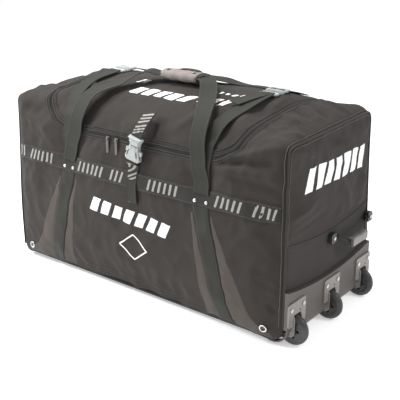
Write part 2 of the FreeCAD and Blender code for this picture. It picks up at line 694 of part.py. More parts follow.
def main():
    os.makedirs("parts", exist_ok=True)
    save("front_panel", front_panel())
    save("rear_panel", rear_panel())
    save("left_end_panel", left_end_panel())
    save("wheel_end_panel", wheel_end_panel())
    gusset = top_gusset()
    save("top_gusset_right", gusset)
    save("top_gusset_left", mirrored_x(gusset))
    save("base_panel", base_panel())
    save("base_board", base_board())
    save("body_zip_tape", body_zip_tape())
    save("front_band", band(True))
    save("rear_band", band(False))
    sewn = [sewn_strap(True), sewn_strap(False)]
    save("sewn_straps", *(sewn + [mirrored_x(strap) for strap in sewn]))
    save("strap_rivets", *rivets())
    save("grommets", *grommets())
    outer = outer_insert()
    inner = inner_insert()
    save("front_inserts", outer, mirrored_x(outer), inner, mirrored_x(inner))
    save("left_end_piping", end_piping(-END_X - 2.4))
    save("wheel_end_piping", end_piping(END_X + 2.4))
    save("end_patch", end_patch())
    save("kick_panel", kick_panel())
    for place, y in wheel_ys().items():
        save(place + "_wheel_housing", wheel_housing(y))
        save(place + "_tyre", tyre(y))
        save(place + "_hub", hub(y))
        save(place + "_bearings", *bearings(y))
    save("wheel_axles", *[axle(y) for y in wheel_ys().values()])
    save("end_screws", *housing_screws())
    save("handle_anchors", *handle_anchors())
    save("end_handle_strap", pull_strap())
    save("end_handle_grip", pull_grip())
    save("skid_runners", *[runner(y) for y in (-150.0, 0.0, 150.0)])
    save("lid_panel", lid_panel())
    save("lid_zip_tape", lid_zip_tape())
    save("centre_buckle_female", centre_female())
    save("centre_buckle_male", centre_male())
    save("centre_strap_lower", centre_strap_lower())
    save("centre_strap_upper", centre_strap_upper())
    for name, side in (("left", -1), ("right", 1)):
        save("release_arm_" + name, release_arm(side))
        save("zip_slider_" + name, slider(SLIDER_XS[name]))
        save("zip_pull_" + name, pull_tab(SLIDER_XS[name]))
        save("pad_strap_front_" + name, pad_strap_front(side))
        save("pad_buckle_male_" + name, pad_male(side))
    save("pad_straps_rear", pad_strap_rear(-1), pad_strap_rear(1))
    save("pad_buckle_females", pad_female(-1), pad_female(1))
    save("front_handle_webbing", front_handle())
    save("grip_wrap", grip_wrap())
    save("grip_snaps", *grip_snaps())
    save("rear_handle_webbing", rear_handle())
    save("rear_handle_fold", rear_handle_fold())


main()
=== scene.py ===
"""Looks of the wheeled hockey equipment bag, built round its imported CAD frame. All lengths are in metres."""
import json
import math

import bpy
import numpy as np
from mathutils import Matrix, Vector, noise
from mathutils.bvhtree import BVHTree


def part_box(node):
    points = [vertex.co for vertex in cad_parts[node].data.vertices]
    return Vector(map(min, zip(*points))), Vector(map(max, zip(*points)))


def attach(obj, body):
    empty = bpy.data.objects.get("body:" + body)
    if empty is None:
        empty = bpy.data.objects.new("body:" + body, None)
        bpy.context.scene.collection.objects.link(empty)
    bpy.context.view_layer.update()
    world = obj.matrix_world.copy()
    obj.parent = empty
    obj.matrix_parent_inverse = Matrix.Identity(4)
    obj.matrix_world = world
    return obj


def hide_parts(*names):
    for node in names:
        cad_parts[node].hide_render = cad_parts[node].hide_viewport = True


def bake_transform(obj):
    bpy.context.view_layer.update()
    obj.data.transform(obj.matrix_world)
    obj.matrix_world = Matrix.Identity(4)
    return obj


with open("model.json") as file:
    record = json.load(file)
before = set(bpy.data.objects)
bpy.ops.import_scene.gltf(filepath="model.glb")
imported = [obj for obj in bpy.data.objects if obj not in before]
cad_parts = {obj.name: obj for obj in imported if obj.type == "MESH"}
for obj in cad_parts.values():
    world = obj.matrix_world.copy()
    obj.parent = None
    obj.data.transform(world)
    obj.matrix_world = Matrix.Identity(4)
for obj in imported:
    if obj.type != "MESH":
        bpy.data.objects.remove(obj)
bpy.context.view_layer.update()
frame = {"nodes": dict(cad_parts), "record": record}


def low(node):
    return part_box(node)[0]


def high(node):
    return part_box(node)[1]


# Sizes taken from the CAD nodes.
FRONT_Y = low("front_panel").y
REAR_Y = high("rear_panel").y
END_X = high("wheel_end_panel").x
BASE_Z = low("front_panel").z
HINGE_Z = 0.545
ZIP_Z = (high("body_zip_tape").z + low("lid_zip_tape").z) / 2
LID_HALF = high("lid_panel").x
CROWN_Z = high("lid_panel").z
BAND_LOW = low("front_band").z
BAND_HIGH = high("front_band").z
KICK_TOP = high("kick_panel").z
HANDLE_X = 0.250
PAD_X = 0.302
WEB_WIDTH = 0.050

# Sizes of the cloth that only show here.
CLOTH = 0.0026          # thickness of a lined panel
WEB = 0.0022            # thickness of webbing
SEAM_INSET = 0.003      # where a panel's edge turns in under the piping
EDGE_ROUND = 0.014
MOUTH_START = 0.255     # the zip leaves the straight front stretch here
MOUTH_RISE = 0.235      # share of the top's arc that the zip's corner climbs
ZIP_GAP = 0.0016
TAPE = 0.015
FINE_STEP = 0.010       # size of a cloth mesh's faces
SETTLE_FRAMES = 20
RIDGES_PER_METRE = 8.5
CRUMPLE = 0.0052        # height of the ridges in loose cloth
SEAM_HOLD = 0.040       # reach of the piping's stiffness into a panel
FOLD_DEPTH = 1.4        # how deep the given folds are cut, against their listed heights

OUTSIDE = 0.02          # how far off a wall trim starts before it is laid on the cloth

# ---- small numeric helpers -------------------------------------------------------------------


def smooth(t):
    t = np.clip(t, 0.0, 1.0)
    return t * t * (3 - 2 * t)


def unit(v):
    return v / np.maximum(np.linalg.norm(v, axis=-1, keepdims=True), 1e-12)


def resample(points, count):
    """The same line as count points, equally spaced."""
    points = np.asarray(points, float)
    steps = np.linalg.norm(np.diff(points, axis=0), axis=1)
    along = np.concatenate([[0.0], np.cumsum(steps)])
    wanted = np.linspace(0.0, along[-1], count)
    return np.stack([np.interp(wanted, along, points[:, k]) for k in range(points.shape[1])], axis=1)


def rounded(corners, radii, count):
    """Line through flat corners, each eased by an arc, as equally spaced points."""
    corners = [np.array(c, float) for c in corners]
    line = [corners[0]]
    for i in range(1, len(corners) - 1):
        back = unit(corners[i - 1] - corners[i])
        ahead = unit(corners[i + 1] - corners[i])
        half = math.acos(np.clip(back @ ahead, -1, 1)) / 2
        reach = radii[i] / math.tan(half)
        start, stop = corners[i] + back * reach, corners[i] + ahead * reach
        for t in np.linspace(0, 1, 9):
            line.append((1 - t) ** 2 * start + 2 * t * (1 - t) * corners[i] + t * t * stop)
    line.append(corners[-1])
    return resample(line, count)


def curve_through(points, step=0.006):
    """Smooth line through the control points (Catmull-Rom), as equally spaced points."""
    p = np.asarray(points, float)
    p = np.vstack([2 * p[0] - p[1], p, 2 * p[-1] - p[-2]])
    line = []
    for i in range(1, len(p) - 2):
        for t in np.linspace(0, 1, 24, endpoint=False):
            line.append(0.5 * (2 * p[i] + (p[i + 1] - p[i - 1]) * t
                               + (2 * p[i - 1] - 5 * p[i] + 4 * p[i + 1] - p[i + 2]) * t ** 2
                               + (3 * p[i] - p[i - 1] - 3 * p[i + 1] + p[i + 2]) * t ** 3))
    line.append(p[-2])
    length = np.linalg.norm(np.diff(line, axis=0), axis=1).sum()
    return resample(line, max(3, int(length / step)))


# ---- materials -------------------------------------------------------------------------------

class Nodes:
    """A material's node tree, with short calls for the nodes used here."""

    def __init__(self, name):
        self.material = bpy.data.materials.new(name)
        self.material.use_nodes = True
        self.tree = self.material.node_tree
        self.shader = self.tree.nodes["Principled BSDF"]

    def add(self, kind, **values):
        node = self.tree.nodes.new("ShaderNode" + kind)
        for key, value in values.items():
            if hasattr(node, key):
                setattr(node, key, value)
            else:
                node.inputs[key.replace("_", " ")].default_value = value
        return node

    def link(self, a, b):
        self.tree.links.new(a, b)

    def colour_ramp(self, factor, stops):
        ramp = self.add("ValToRGB")
        for element, (position, colour) in zip(ramp.color_ramp.elements, stops):
            element.position = position
            element.color = (*colour, 1)
        self.link(factor, ramp.inputs["Fac"])
        return ramp.outputs["Color"]

    def noise(self, vector, scale, detail=3.0):
        node = self.add("TexNoise", Scale=scale, Detail=detail)
        self.link(vector, node.inputs["Vector"])
        return node.outputs["Fac"]

    def wave(self, vector, scale, direction, distortion=0.0):
        node = self.add("TexWave", bands_direction=direction, Scale=scale, Distortion=distortion)
        self.link(vector, node.inputs["Vector"])
        return node.outputs["Fac"]

    def maths(self, operation, a, b):
        node = self.add("Math", operation=operation)
        for socket, value in zip(node.inputs, (a, b)):
            if isinstance(value, (int, float)):
                socket.default_value = value
            else:
                self.link(value, socket)
        return node.outputs[0]

    def bump(self, height, strength, distance):
        node = self.add("Bump", Strength=strength, Distance=distance)
        self.link(height, node.inputs["Height"])
        self.link(node.outputs["Normal"], self.shader.inputs["Normal"])


def shade(colour, factor):
    return tuple(min(1.0, c * factor) for c in colour)


def woven(name, colour, pitch=0.0016, contrast=0.16, rough=0.85, sheen=0.05, ribs=False):
    """Woven cloth or webbing: two crossed thread directions, uneven dye and a dusty worn bloom."""
    n = Nodes(name)
    surface = n.add("UVMap", uv_map="Surface").outputs["UV"]
    place = n.add("TexCoord").outputs["Object"]
    waves = 0.5 / pitch
    across = n.wave(surface, waves, "X")
    along = n.wave(surface, waves, "DIAGONAL" if ribs else "Y")
    threads = n.maths("MULTIPLY" if ribs else "ADD", across, along)
    broad = n.noise(place, 7.0, 4.0)
    mottle = n.noise(place, 90.0, 3.0)
    mix = n.maths("ADD", n.maths("MULTIPLY", broad, 0.6), n.maths("MULTIPLY", mottle, 0.4))
    mix = n.maths("ADD", n.maths("MULTIPLY", mix, 0.85), n.maths("MULTIPLY", threads, 0.08))
    tone = n.colour_ramp(mix, [(0.3, shade(colour, 1 - contrast)), (0.75, shade(colour, 1 + contrast))])
    n.link(tone, n.shader.inputs["Base Color"])
    rough_map = n.maths("ADD", n.maths("MULTIPLY", mottle, 0.16), rough - 0.08)
    n.link(rough_map, n.shader.inputs["Roughness"])
    n.shader.inputs["Sheen Weight"].default_value = sheen
    n.shader.inputs["Sheen Roughness"].default_value = 0.45
    n.shader.inputs["Specular IOR Level"].default_value = 0.2
    height = n.maths("ADD", threads, n.maths("MULTIPLY", mottle, 0.7))
    n.bump(height, 0.35, 0.0006)
    return n.material


def moulded(name, colour, rough=0.45, grain=700.0, wear=0.12, strength=0.12):
    """Moulded plastic or rubber: fine grain, slight flow marks and scuffs."""
    n = Nodes(name)
    place = n.add("TexCoord").outputs["Object"]
    fine = n.noise(place, grain, 2.0)
    scuff = n.noise(place, 38.0, 6.0)
    tone = n.colour_ramp(scuff, [(0.35, shade(colour, 1 - wear)), (0.72, shade(colour, 1 + wear))])
    n.link(tone, n.shader.inputs["Base Color"])
    n.link(n.maths("ADD", n.maths("MULTIPLY", scuff, 0.2), rough - 0.1), n.shader.inputs["Roughness"])
    n.shader.inputs["Specular IOR Level"].default_value = 0.5
    n.bump(fine, strength, 0.0004)
    return n.material


def metal(name, colour, rough):
    """Plated or bare metal with faint rub marks."""
    n = Nodes(name)
    place = n.add("TexCoord").outputs["Object"]
    marks = n.noise(place, 160.0, 5.0)
    tone = n.colour_ramp(marks, [(0.3, shade(colour, 0.82)), (0.7, colour)])
    n.link(tone, n.shader.inputs["Base Color"])
    n.link(n.maths("ADD", n.maths("MULTIPLY", marks, 0.25), rough - 0.1), n.shader.inputs["Roughness"])
    n.shader.inputs["Metallic"].default_value = 1.0
    n.bump(marks, 0.08, 0.0003)
    return n.material


MATERIALS = {
    "shell_cloth": woven("shell_cloth", (0.0315, 0.0272, 0.0252)),
    "dark_cloth": woven("dark_cloth", (0.022, 0.0205, 0.0198)),
    "insert_cloth": woven("insert_cloth", (0.072, 0.061, 0.056)),
    "webbing": woven("webbing", (0.027, 0.027, 0.0235), pitch=0.0022, ribs=True, rough=0.74),
    "band_webbing": woven("band_webbing", (0.026, 0.025, 0.023), pitch=0.002, ribs=True, rough=0.74),
    "zip_cloth": woven("zip_cloth", (0.018, 0.017, 0.016), pitch=0.0014),
    "piping": woven("piping", (0.030, 0.028, 0.026), pitch=0.0016, rough=0.6),
    "grip_cloth": woven("grip_cloth", (0.225, 0.196, 0.184), contrast=0.2),
    "print_white": woven("print_white", (0.84, 0.84, 0.84), contrast=0.05, rough=0.6, sheen=0.0),
    "print_grey": woven("print_grey", (0.30, 0.29, 0.27), contrast=0.12, rough=0.65, sheen=0.0),
    "thread": woven("thread", (0.105, 0.100, 0.092), pitch=0.0005, rough=0.6),
    "board": moulded("board", (0.03, 0.03, 0.03), rough=0.7),
    "kick_plastic": moulded("kick_plastic", (0.070, 0.062, 0.058), rough=0.55, strength=0.25),
    "housing_plastic": moulded("housing_plastic", (0.185, 0.171, 0.162), rough=0.38),
    "buckle_plastic": moulded("buckle_plastic", (0.33, 0.355, 0.345), rough=0.34, wear=0.06),
    "black_plastic": moulded("black_plastic", (0.016, 0.016, 0.016), rough=0.4),
    "pull_plastic": moulded("pull_plastic", (0.085, 0.074, 0.068), rough=0.42),
    "grip_plastic": moulded("grip_plastic", (0.150, 0.143, 0.137), rough=0.36, wear=0.25),
    "tyre_rubber": moulded("tyre_rubber", (0.030, 0.032, 0.030), rough=0.40, grain=300.0, wear=0.3),
    "hub_plastic": moulded("hub_plastic", (0.030, 0.030, 0.029), rough=0.4),
    "steel": metal("steel", (0.62, 0.62, 0.62), 0.3),
    "nickel": metal("nickel", (0.62, 0.62, 0.60), 0.3),
    "dark_nickel": metal("dark_nickel", (0.20, 0.19, 0.18), 0.36),
}

# ---- mesh pieces -----------------------------------------------------------------------------


def make_piece(name, verts, faces, uvs, slot):
    """A mesh object from points, faces and a surface position for every point."""
    mesh = bpy.data.meshes.new(name)
    mesh.from_pydata(np.asarray(verts).tolist(), [], faces)
    loops = np.zeros(len(mesh.loops), np.int32)
    mesh.loops.foreach_get("vertex_index", loops)
    layer = mesh.uv_layers.new(name="Surface")
    layer.data.foreach_set("uv", np.asarray(uvs, np.float32)[loops].ravel())
    mesh.polygons.foreach_set("use_smooth", np.ones(len(mesh.polygons), bool))
    mesh.set_sharp_from_angle(angle=math.radians(48))
    mesh.materials.append(MATERIALS[slot])
    piece = bpy.data.objects.new(name, mesh)
    bpy.context.scene.collection.objects.link(piece)
    return piece


def grid_faces(rows, cols, start=0, flip=False):
    """Four-sided faces of a grid of points, numbered from start."""
    faces = []
    for r in range(rows - 1):
        for c in range(cols - 1):
            a = start + r * cols + c
            face = (a, a + 1, a + cols + 1, a + cols)
            faces.append(face[::-1] if flip else face)
    return faces


def grid_uvs(points):
    """Distances along the rows and the columns of a grid, as a flat pattern would measure them."""
    across = np.linalg.norm(np.diff(points, axis=1), axis=2).mean(axis=0)
    along = np.linalg.norm(np.diff(points, axis=0), axis=2).mean(axis=1)
    u = np.concatenate([[0.0], np.cumsum(across)])
    v = np.concatenate([[0.0], np.cumsum(along)])
    return np.stack(np.meshgrid(u, v), axis=-1)


def grid_normals(points, outward):
    """Smooth normals of a grid of points, all on the side that outward says."""
    d_row = np.gradient(points, axis=0)
    d_col = np.gradient(points, axis=1)
    normals = unit(np.cross(d_row, d_col))
    side = np.sign((normals * outward).sum(axis=-1, keepdims=True))
    side[side == 0] = 1
    return normals * side


def slab(name, points, normals, under, over, slot):
    """Closed thin piece: an outer face with eased edges, an inner face and the rim between them."""
    rows, cols = points.shape[:2]
    lift = np.broadcast_to(over, (rows, cols)).copy()
    sink = np.broadcast_to(under, (rows, cols)).copy()
    for edge in (np.s_[0, :], np.s_[-1, :], np.s_[:, 0], np.s_[:, -1]):
        lift[edge] = sink[edge] + (lift[edge] - sink[edge]) * 0.55
    verts = np.concatenate([(points + normals * lift[..., None]).reshape(-1, 3),
                            (points + normals * sink[..., None]).reshape(-1, 3)])
    across = points[0, 1] - points[0, 0]
    along = points[1, 0] - points[0, 0]
    flip = float(np.cross(across, along) @ normals[0, 0]) < 0
    count = rows * cols
    faces = grid_faces(rows, cols, 0, flip) + grid_faces(rows, cols, count, not flip)
    rim = ([(0, c) for c in range(cols)] + [(r, cols - 1) for r in range(1, rows)]
           + [(rows - 1, c) for c in range(cols - 2, -1, -1)] + [(r, 0) for r in range(rows - 2, 0, -1)])
    ring = [r * cols + c for r, c in rim]
    for a, b in zip(ring, ring[1:] + ring[:1]):
        face = (b, a, a + count, b + count)
        faces.append(face[::-1] if flip else face)
    uv = grid_uvs(points).reshape(-1, 2)
    return make_piece(name, verts, faces, np.concatenate([uv, uv]), slot)


def tube(name, path, radius, slot, sides=10, closed=False, squash=1.0):
    """Round cord or bar along a line of points; radius may be one number or one for each point."""
    path = np.asarray(path, float)
    radii = np.broadcast_to(radius, (len(path),))
    ahead = np.roll(path, -1, axis=0) - np.roll(path, 1, axis=0) if closed else np.gradient(path, axis=0)
    tangent = unit(ahead)
    normal = np.zeros_like(path)
    guide = np.array([0.0, 0.0, 1.0]) if abs(tangent[0][2]) < 0.8 else np.array([0.0, 1.0, 0.0])
    for i, t in enumerate(tangent):
        guide = guide - t * (guide @ t)
        guide = unit(guide)
        normal[i] = guide
    side = np.cross(tangent, normal)
    turn = np.linspace(0, 2 * math.pi, sides, endpoint=False)
    rings = (path[:, None] + radii[:, None, None] * (np.cos(turn)[None, :, None] * normal[:, None]
             + squash * np.sin(turn)[None, :, None] * side[:, None]))
    count = len(path)
    faces = []
    for i in range(count if closed else count - 1):
        for k in range(sides):
            a, b = i * sides + k, i * sides + (k + 1) % sides
            c, d = ((i + 1) % count) * sides + (k + 1) % sides, ((i + 1) % count) * sides + k
            faces.append((a, b, c, d))
    if not closed:
        faces.append(tuple(range(sides))[::-1])
        faces.append(tuple((count - 1) * sides + k for k in range(sides)))
    length = np.concatenate([[0], np.cumsum(np.linalg.norm(np.diff(path, axis=0), axis=1))])
    uv = np.stack([np.tile(turn * radii.mean(), count), np.repeat(length, sides)], axis=1)
    return make_piece(name, rings.reshape(-1, 3), faces, uv, slot)


def place(piece, body, *nodes):
    """The piece rides on a body and stands for these CAD nodes."""
    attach(piece, body)
    if nodes:
        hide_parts(*nodes)
    return piece


def joined(name, pieces):
    """Several meshes of one material as one piece."""
    for other in bpy.context.selected_objects:
        other.select_set(False)
    for piece in pieces:
        piece.select_set(True)
    bpy.context.view_layer.objects.active = pieces[0]
    bpy.ops.object.join()
    pieces[0].name = name
    pieces[0].data.name = name
    return pieces[0]


# ---- shape of the stuffed bag ----------------------------------------------------------------
# A point of the skin is named by x and s: s runs from the front hem (0) to the zip line (1), over the
# top to the hinge line (2) and down the rear to its hem (3).

PROFILE_STEPS = 90
HEM = 0.018


def profile(front, top, rear):
    parts = [rounded(points, radii, PROFILE_STEPS) for points, radii in (front, top, rear)]
    return np.concatenate([parts[0][:-1], parts[1][:-1], parts[2]])


def wall(y, top):
    side = math.copysign(1, y)
    return [(y - side * HEM, BASE_Z), (y, BASE_Z), (y, top)], [0, EDGE_ROUND, 0]


MIDDLE = profile(wall(FRONT_Y, ZIP_Z),
                 ([(FRONT_Y, ZIP_Z), (FRONT_Y + 0.003, ZIP_Z + 0.012), (-0.180, 0.560), (0.040, CROWN_Z + 0.001),
                   (0.2165, 0.562), (0.2165, HINGE_Z)], [0, 0.01, 0.06, 0.3, 0.02, 0]),
                 ([(0.2165, HINGE_Z), (REAR_Y, 0.525), (REAR_Y, BASE_Z), (REAR_Y - HEM, BASE_Z)],
                  [0, 0.02, EDGE_ROUND, 0]))
ENDS = profile(wall(FRONT_Y, ZIP_Z),
               ([(FRONT_Y, ZIP_Z), (FRONT_Y, 0.548), (REAR_Y, 0.566), (REAR_Y, 0.518)], [0, 0.035, 0.045, 0]),
               ([(REAR_Y, 0.518), (REAR_Y, BASE_Z), (REAR_Y - HEM, BASE_Z)], [0, EDGE_ROUND, 0]))
PROFILE_S = np.linspace(0, 3, len(MIDDLE))
CORNERS = {-1: 0.022, 1: 0.046}     # lower corners of the front and rear walls
CORNER_REACH = 0.150
DOME_HALF = 0.310                   # the middle's profile holds this far out
EDGE_ROUND_TOP = 0.034              # the upright edges grow rounder towards the top
TAPER = {-1: 0.012, 1: 0.008}       # the stuffed ends lean in at the top


def section(x, s, axis):
    """One coordinate of the bag's profile at x, from the domed middle to the ends."""
    share = smooth((np.abs(x) - DOME_HALF) / (END_X - DOME_HALF))
    middle = np.interp(s, PROFILE_S, MIDDLE[:, axis])
    ends = np.interp(s, PROFILE_S, ENDS[:, axis])
    return middle + (ends - middle) * share


def turn_in(distance, radius):
    """How far an arc of that radius has come in, this far past its start."""
    d = np.clip(distance, 0, radius)
    return radius - np.sqrt(radius ** 2 - d ** 2)


def skin_point(x, s):
    """Point of the bag's skin before it is stuffed."""
    x, s = np.broadcast_arrays(np.asarray(x, float), np.asarray(s, float))
    step = 1e-3
    y, z = section(x, s, 0), section(x, s, 1)
    dy = section(x, s + step, 0) - section(x, s - step, 0)
    dz = section(x, s + step, 1) - section(x, s - step, 1)
    size = np.maximum(np.hypot(dy, dz), 1e-9)
    climb = smooth((z - 0.12) / 0.42)
    radius = EDGE_ROUND + (EDGE_ROUND_TOP - EDGE_ROUND) * climb
    inset = turn_in(np.abs(x) - (END_X - radius), radius) * 0.6
    y = y + dz / size * inset
    z = z - dy / size * inset
    for side, radius in CORNERS.items():
        rise = turn_in(side * x - (END_X - radius), radius)
        part = np.clip((CORNER_REACH - z) / (CORNER_REACH - BASE_Z), 0, 1)
        z = z + rise * part
    lean = np.where(x < 0, -TAPER[-1], TAPER[1]) * climb
    x = x - lean * smooth((np.abs(x) - LID_HALF) / (END_X - LID_HALF))
    return np.stack([x, y, z], axis=-1)


def mouth_s(x):
    """Where the zip crosses the section at x."""
    u = np.clip((np.abs(x) - MOUTH_START) / (LID_HALF - MOUTH_START), 0, 1)
    return 1 + MOUTH_RISE * (1 - np.sqrt(1 - u ** 2))


def spread(start, stop, step=FINE_STEP):
    """Equally spaced values about a step apart."""
    return np.linspace(start, stop, max(2, int(round(abs(stop - start) / step)) + 1))


def columns(reach):
    """x of the columns from the middle out to reach, with one exactly on each side of the lid."""
    half = [spread(0, MOUTH_START), LID_HALF - (LID_HALF - MOUTH_START) * (1 - np.sin(
        np.linspace(0, math.pi / 2, 16)))]
    if reach > LID_HALF:
        half.append(spread(LID_HALF, reach))
    half = np.unique(np.round(np.concatenate(half), 6))
    return np.concatenate([-half[:0:-1], half])


# ---- cloth -----------------------------------------------------------------------------------

def settle(piece, pins, pressure, slack, cap):
    """Stuff a cloth panel: cloth simulation with its seams pinned, cut a little larger than its place."""
    group = piece.vertex_groups.new(name="seams")
    for i, weight in enumerate(pins):
        if weight > 0:
            group.add([i], float(weight), "REPLACE")
    rest = np.array([v.co for v in piece.data.vertices])
    modifier = piece.modifiers.new("Cloth", "CLOTH")
    cloth = modifier.settings
    cloth.quality = 5
    cloth.mass = 0.3
    cloth.tension_stiffness = 18
    cloth.compression_stiffness = 12
    cloth.shear_stiffness = 6
    cloth.bending_stiffness = 0.9
    cloth.air_damping = 2
    cloth.vertex_group_mass = "seams"
    cloth.use_pressure = True
    cloth.uniform_pressure_force = pressure
    cloth.shrink_min = -slack
    cloth.effector_weights.gravity = 0
    modifier.collision_settings.use_collision = False
    modifier.point_cache.frame_start = 1
    modifier.point_cache.frame_end = SETTLE_FRAMES
    scene = bpy.context.scene
    for number in range(1, SETTLE_FRAMES + 1):
        scene.frame_set(number)
    shaped = piece.evaluated_get(bpy.context.evaluated_depsgraph_get())
    moved = np.array([v.co for v in shaped.data.vertices]) - rest
    size = np.linalg.norm(moved, axis=1, keepdims=True)
    moved = moved * np.tanh(size / cap) * cap / np.maximum(size, 1e-9)
    piece.modifiers.clear()
    piece.vertex_groups.clear()
    piece.data.vertices.foreach_set("co", (rest + moved).astype(np.float32).ravel())
    piece.data.update()
    scene.frame_set(1)


def applied(piece):
    """The piece with its modifiers made part of its mesh."""
    depsgraph = bpy.context.evaluated_depsgraph_get()
    shaped = piece.evaluated_get(depsgraph)
    mesh = bpy.data.meshes.new_from_object(shaped, preserve_all_data_layers=True, depsgraph=depsgraph)
    piece.modifiers.clear()
    piece.data = mesh
    return piece


def mesh_tree(piece):
    mesh = piece.data
    return BVHTree.FromPolygons([v.co for v in mesh.vertices], [p.vertices for p in mesh.polygons])


def crumple(point):
    """Height of the loose cloth's ridges at a point, from -1 to 1."""
    broad = noise.noise(Vector(point) * RIDGES_PER_METRE)
    fine = noise.noise(Vector(point) * RIDGES_PER_METRE * 2.4 + Vector((3.1, 1.7, 5.2)))
    return (1 - 2.6 * abs(broad)) * 0.65 + (1 - 2.6 * abs(fine)) * 0.35


def crease(piece, folds, ridges):
    """Push a panel along its normals: ridges where the cloth is loose, and listed folds.

    Each fold is its start, end, width and height."""
    mesh = piece.data
    loose = np.zeros(len(mesh.vertices), np.float32)
    mesh.attributes["loose"].data.foreach_get("value", loose)
    mesh.attributes.remove(mesh.attributes["loose"])
    points = np.array([v.co for v in mesh.vertices])
    normals = np.array([v.normal for v in mesh.vertices])
    lift = np.array([crumple(p) for p in points]) * ridges
    for start, end, width, height in folds:
        a, b = np.array(start), np.array(end)
        run = b - a
        t = np.clip(((points - a) @ run) / (run @ run), 0, 1)
        away = np.linalg.norm(points - (a + t[:, None] * run), axis=1)
        lift += FOLD_DEPTH * height * np.exp(-(away / width) ** 2) * (0.35 + 0.65 * np.sin(math.pi * t))
    moved = points + normals * (lift * loose)[:, None]
    mesh.vertices.foreach_set("co", moved.astype(np.float32).ravel())
    mesh.update()


def cloth_piece(name, points, keep, outward, pins, pressure, slack, cap, folds, ridges=CRUMPLE):
    """A sewn panel on a grid of points: stuffed, smoothed, creased, and given its thickness.

    Returns the piece and a search tree of its outer face for laying trim on."""
    rows, cols = points.shape[:2]
    flat = points.reshape(-1, 3)
    normals = grid_normals(points, outward).reshape(-1, 3)
    across, along = points[0, 1] - points[0, 0], points[1, 0] - points[0, 0]
    flip = float(np.cross(across, along) @ normals[0]) < 0
    faces = [f for f in grid_faces(rows, cols, 0, flip) if all(keep[i] for i in f)]
    used = sorted({i for f in faces for i in f})
    index = {old: new for new, old in enumerate(used)}
    faces = [tuple(index[i] for i in f) for f in faces]
    uvs = grid_uvs(points).reshape(-1, 2)[used]
    piece = make_piece(name, flat[used], faces, uvs, "shell_cloth")
    pinned = np.asarray(pins, np.float32).ravel()[used]
    piece.data.attributes.new("loose", "FLOAT", "POINT").data.foreach_set("value", 1 - pinned)
    settle(piece, pinned, pressure, slack, cap)
    piece.modifiers.new("smooth", "SUBSURF").levels = 1
    applied(piece)
    crease(piece, folds, ridges)
    tree = mesh_tree(piece)
    solid = piece.modifiers.new("thickness", "SOLIDIFY")
    solid.thickness = CLOTH
    solid.offset = -1
    applied(piece)
    piece.data.set_sharp_from_angle(angle=math.radians(60))
    return piece, tree


def stiffened(distance):
    """How much the piping holds the cloth this far from a seam."""
    return 0.9 * np.clip(1 - distance / SEAM_HOLD, 0, 1) ** 1.3


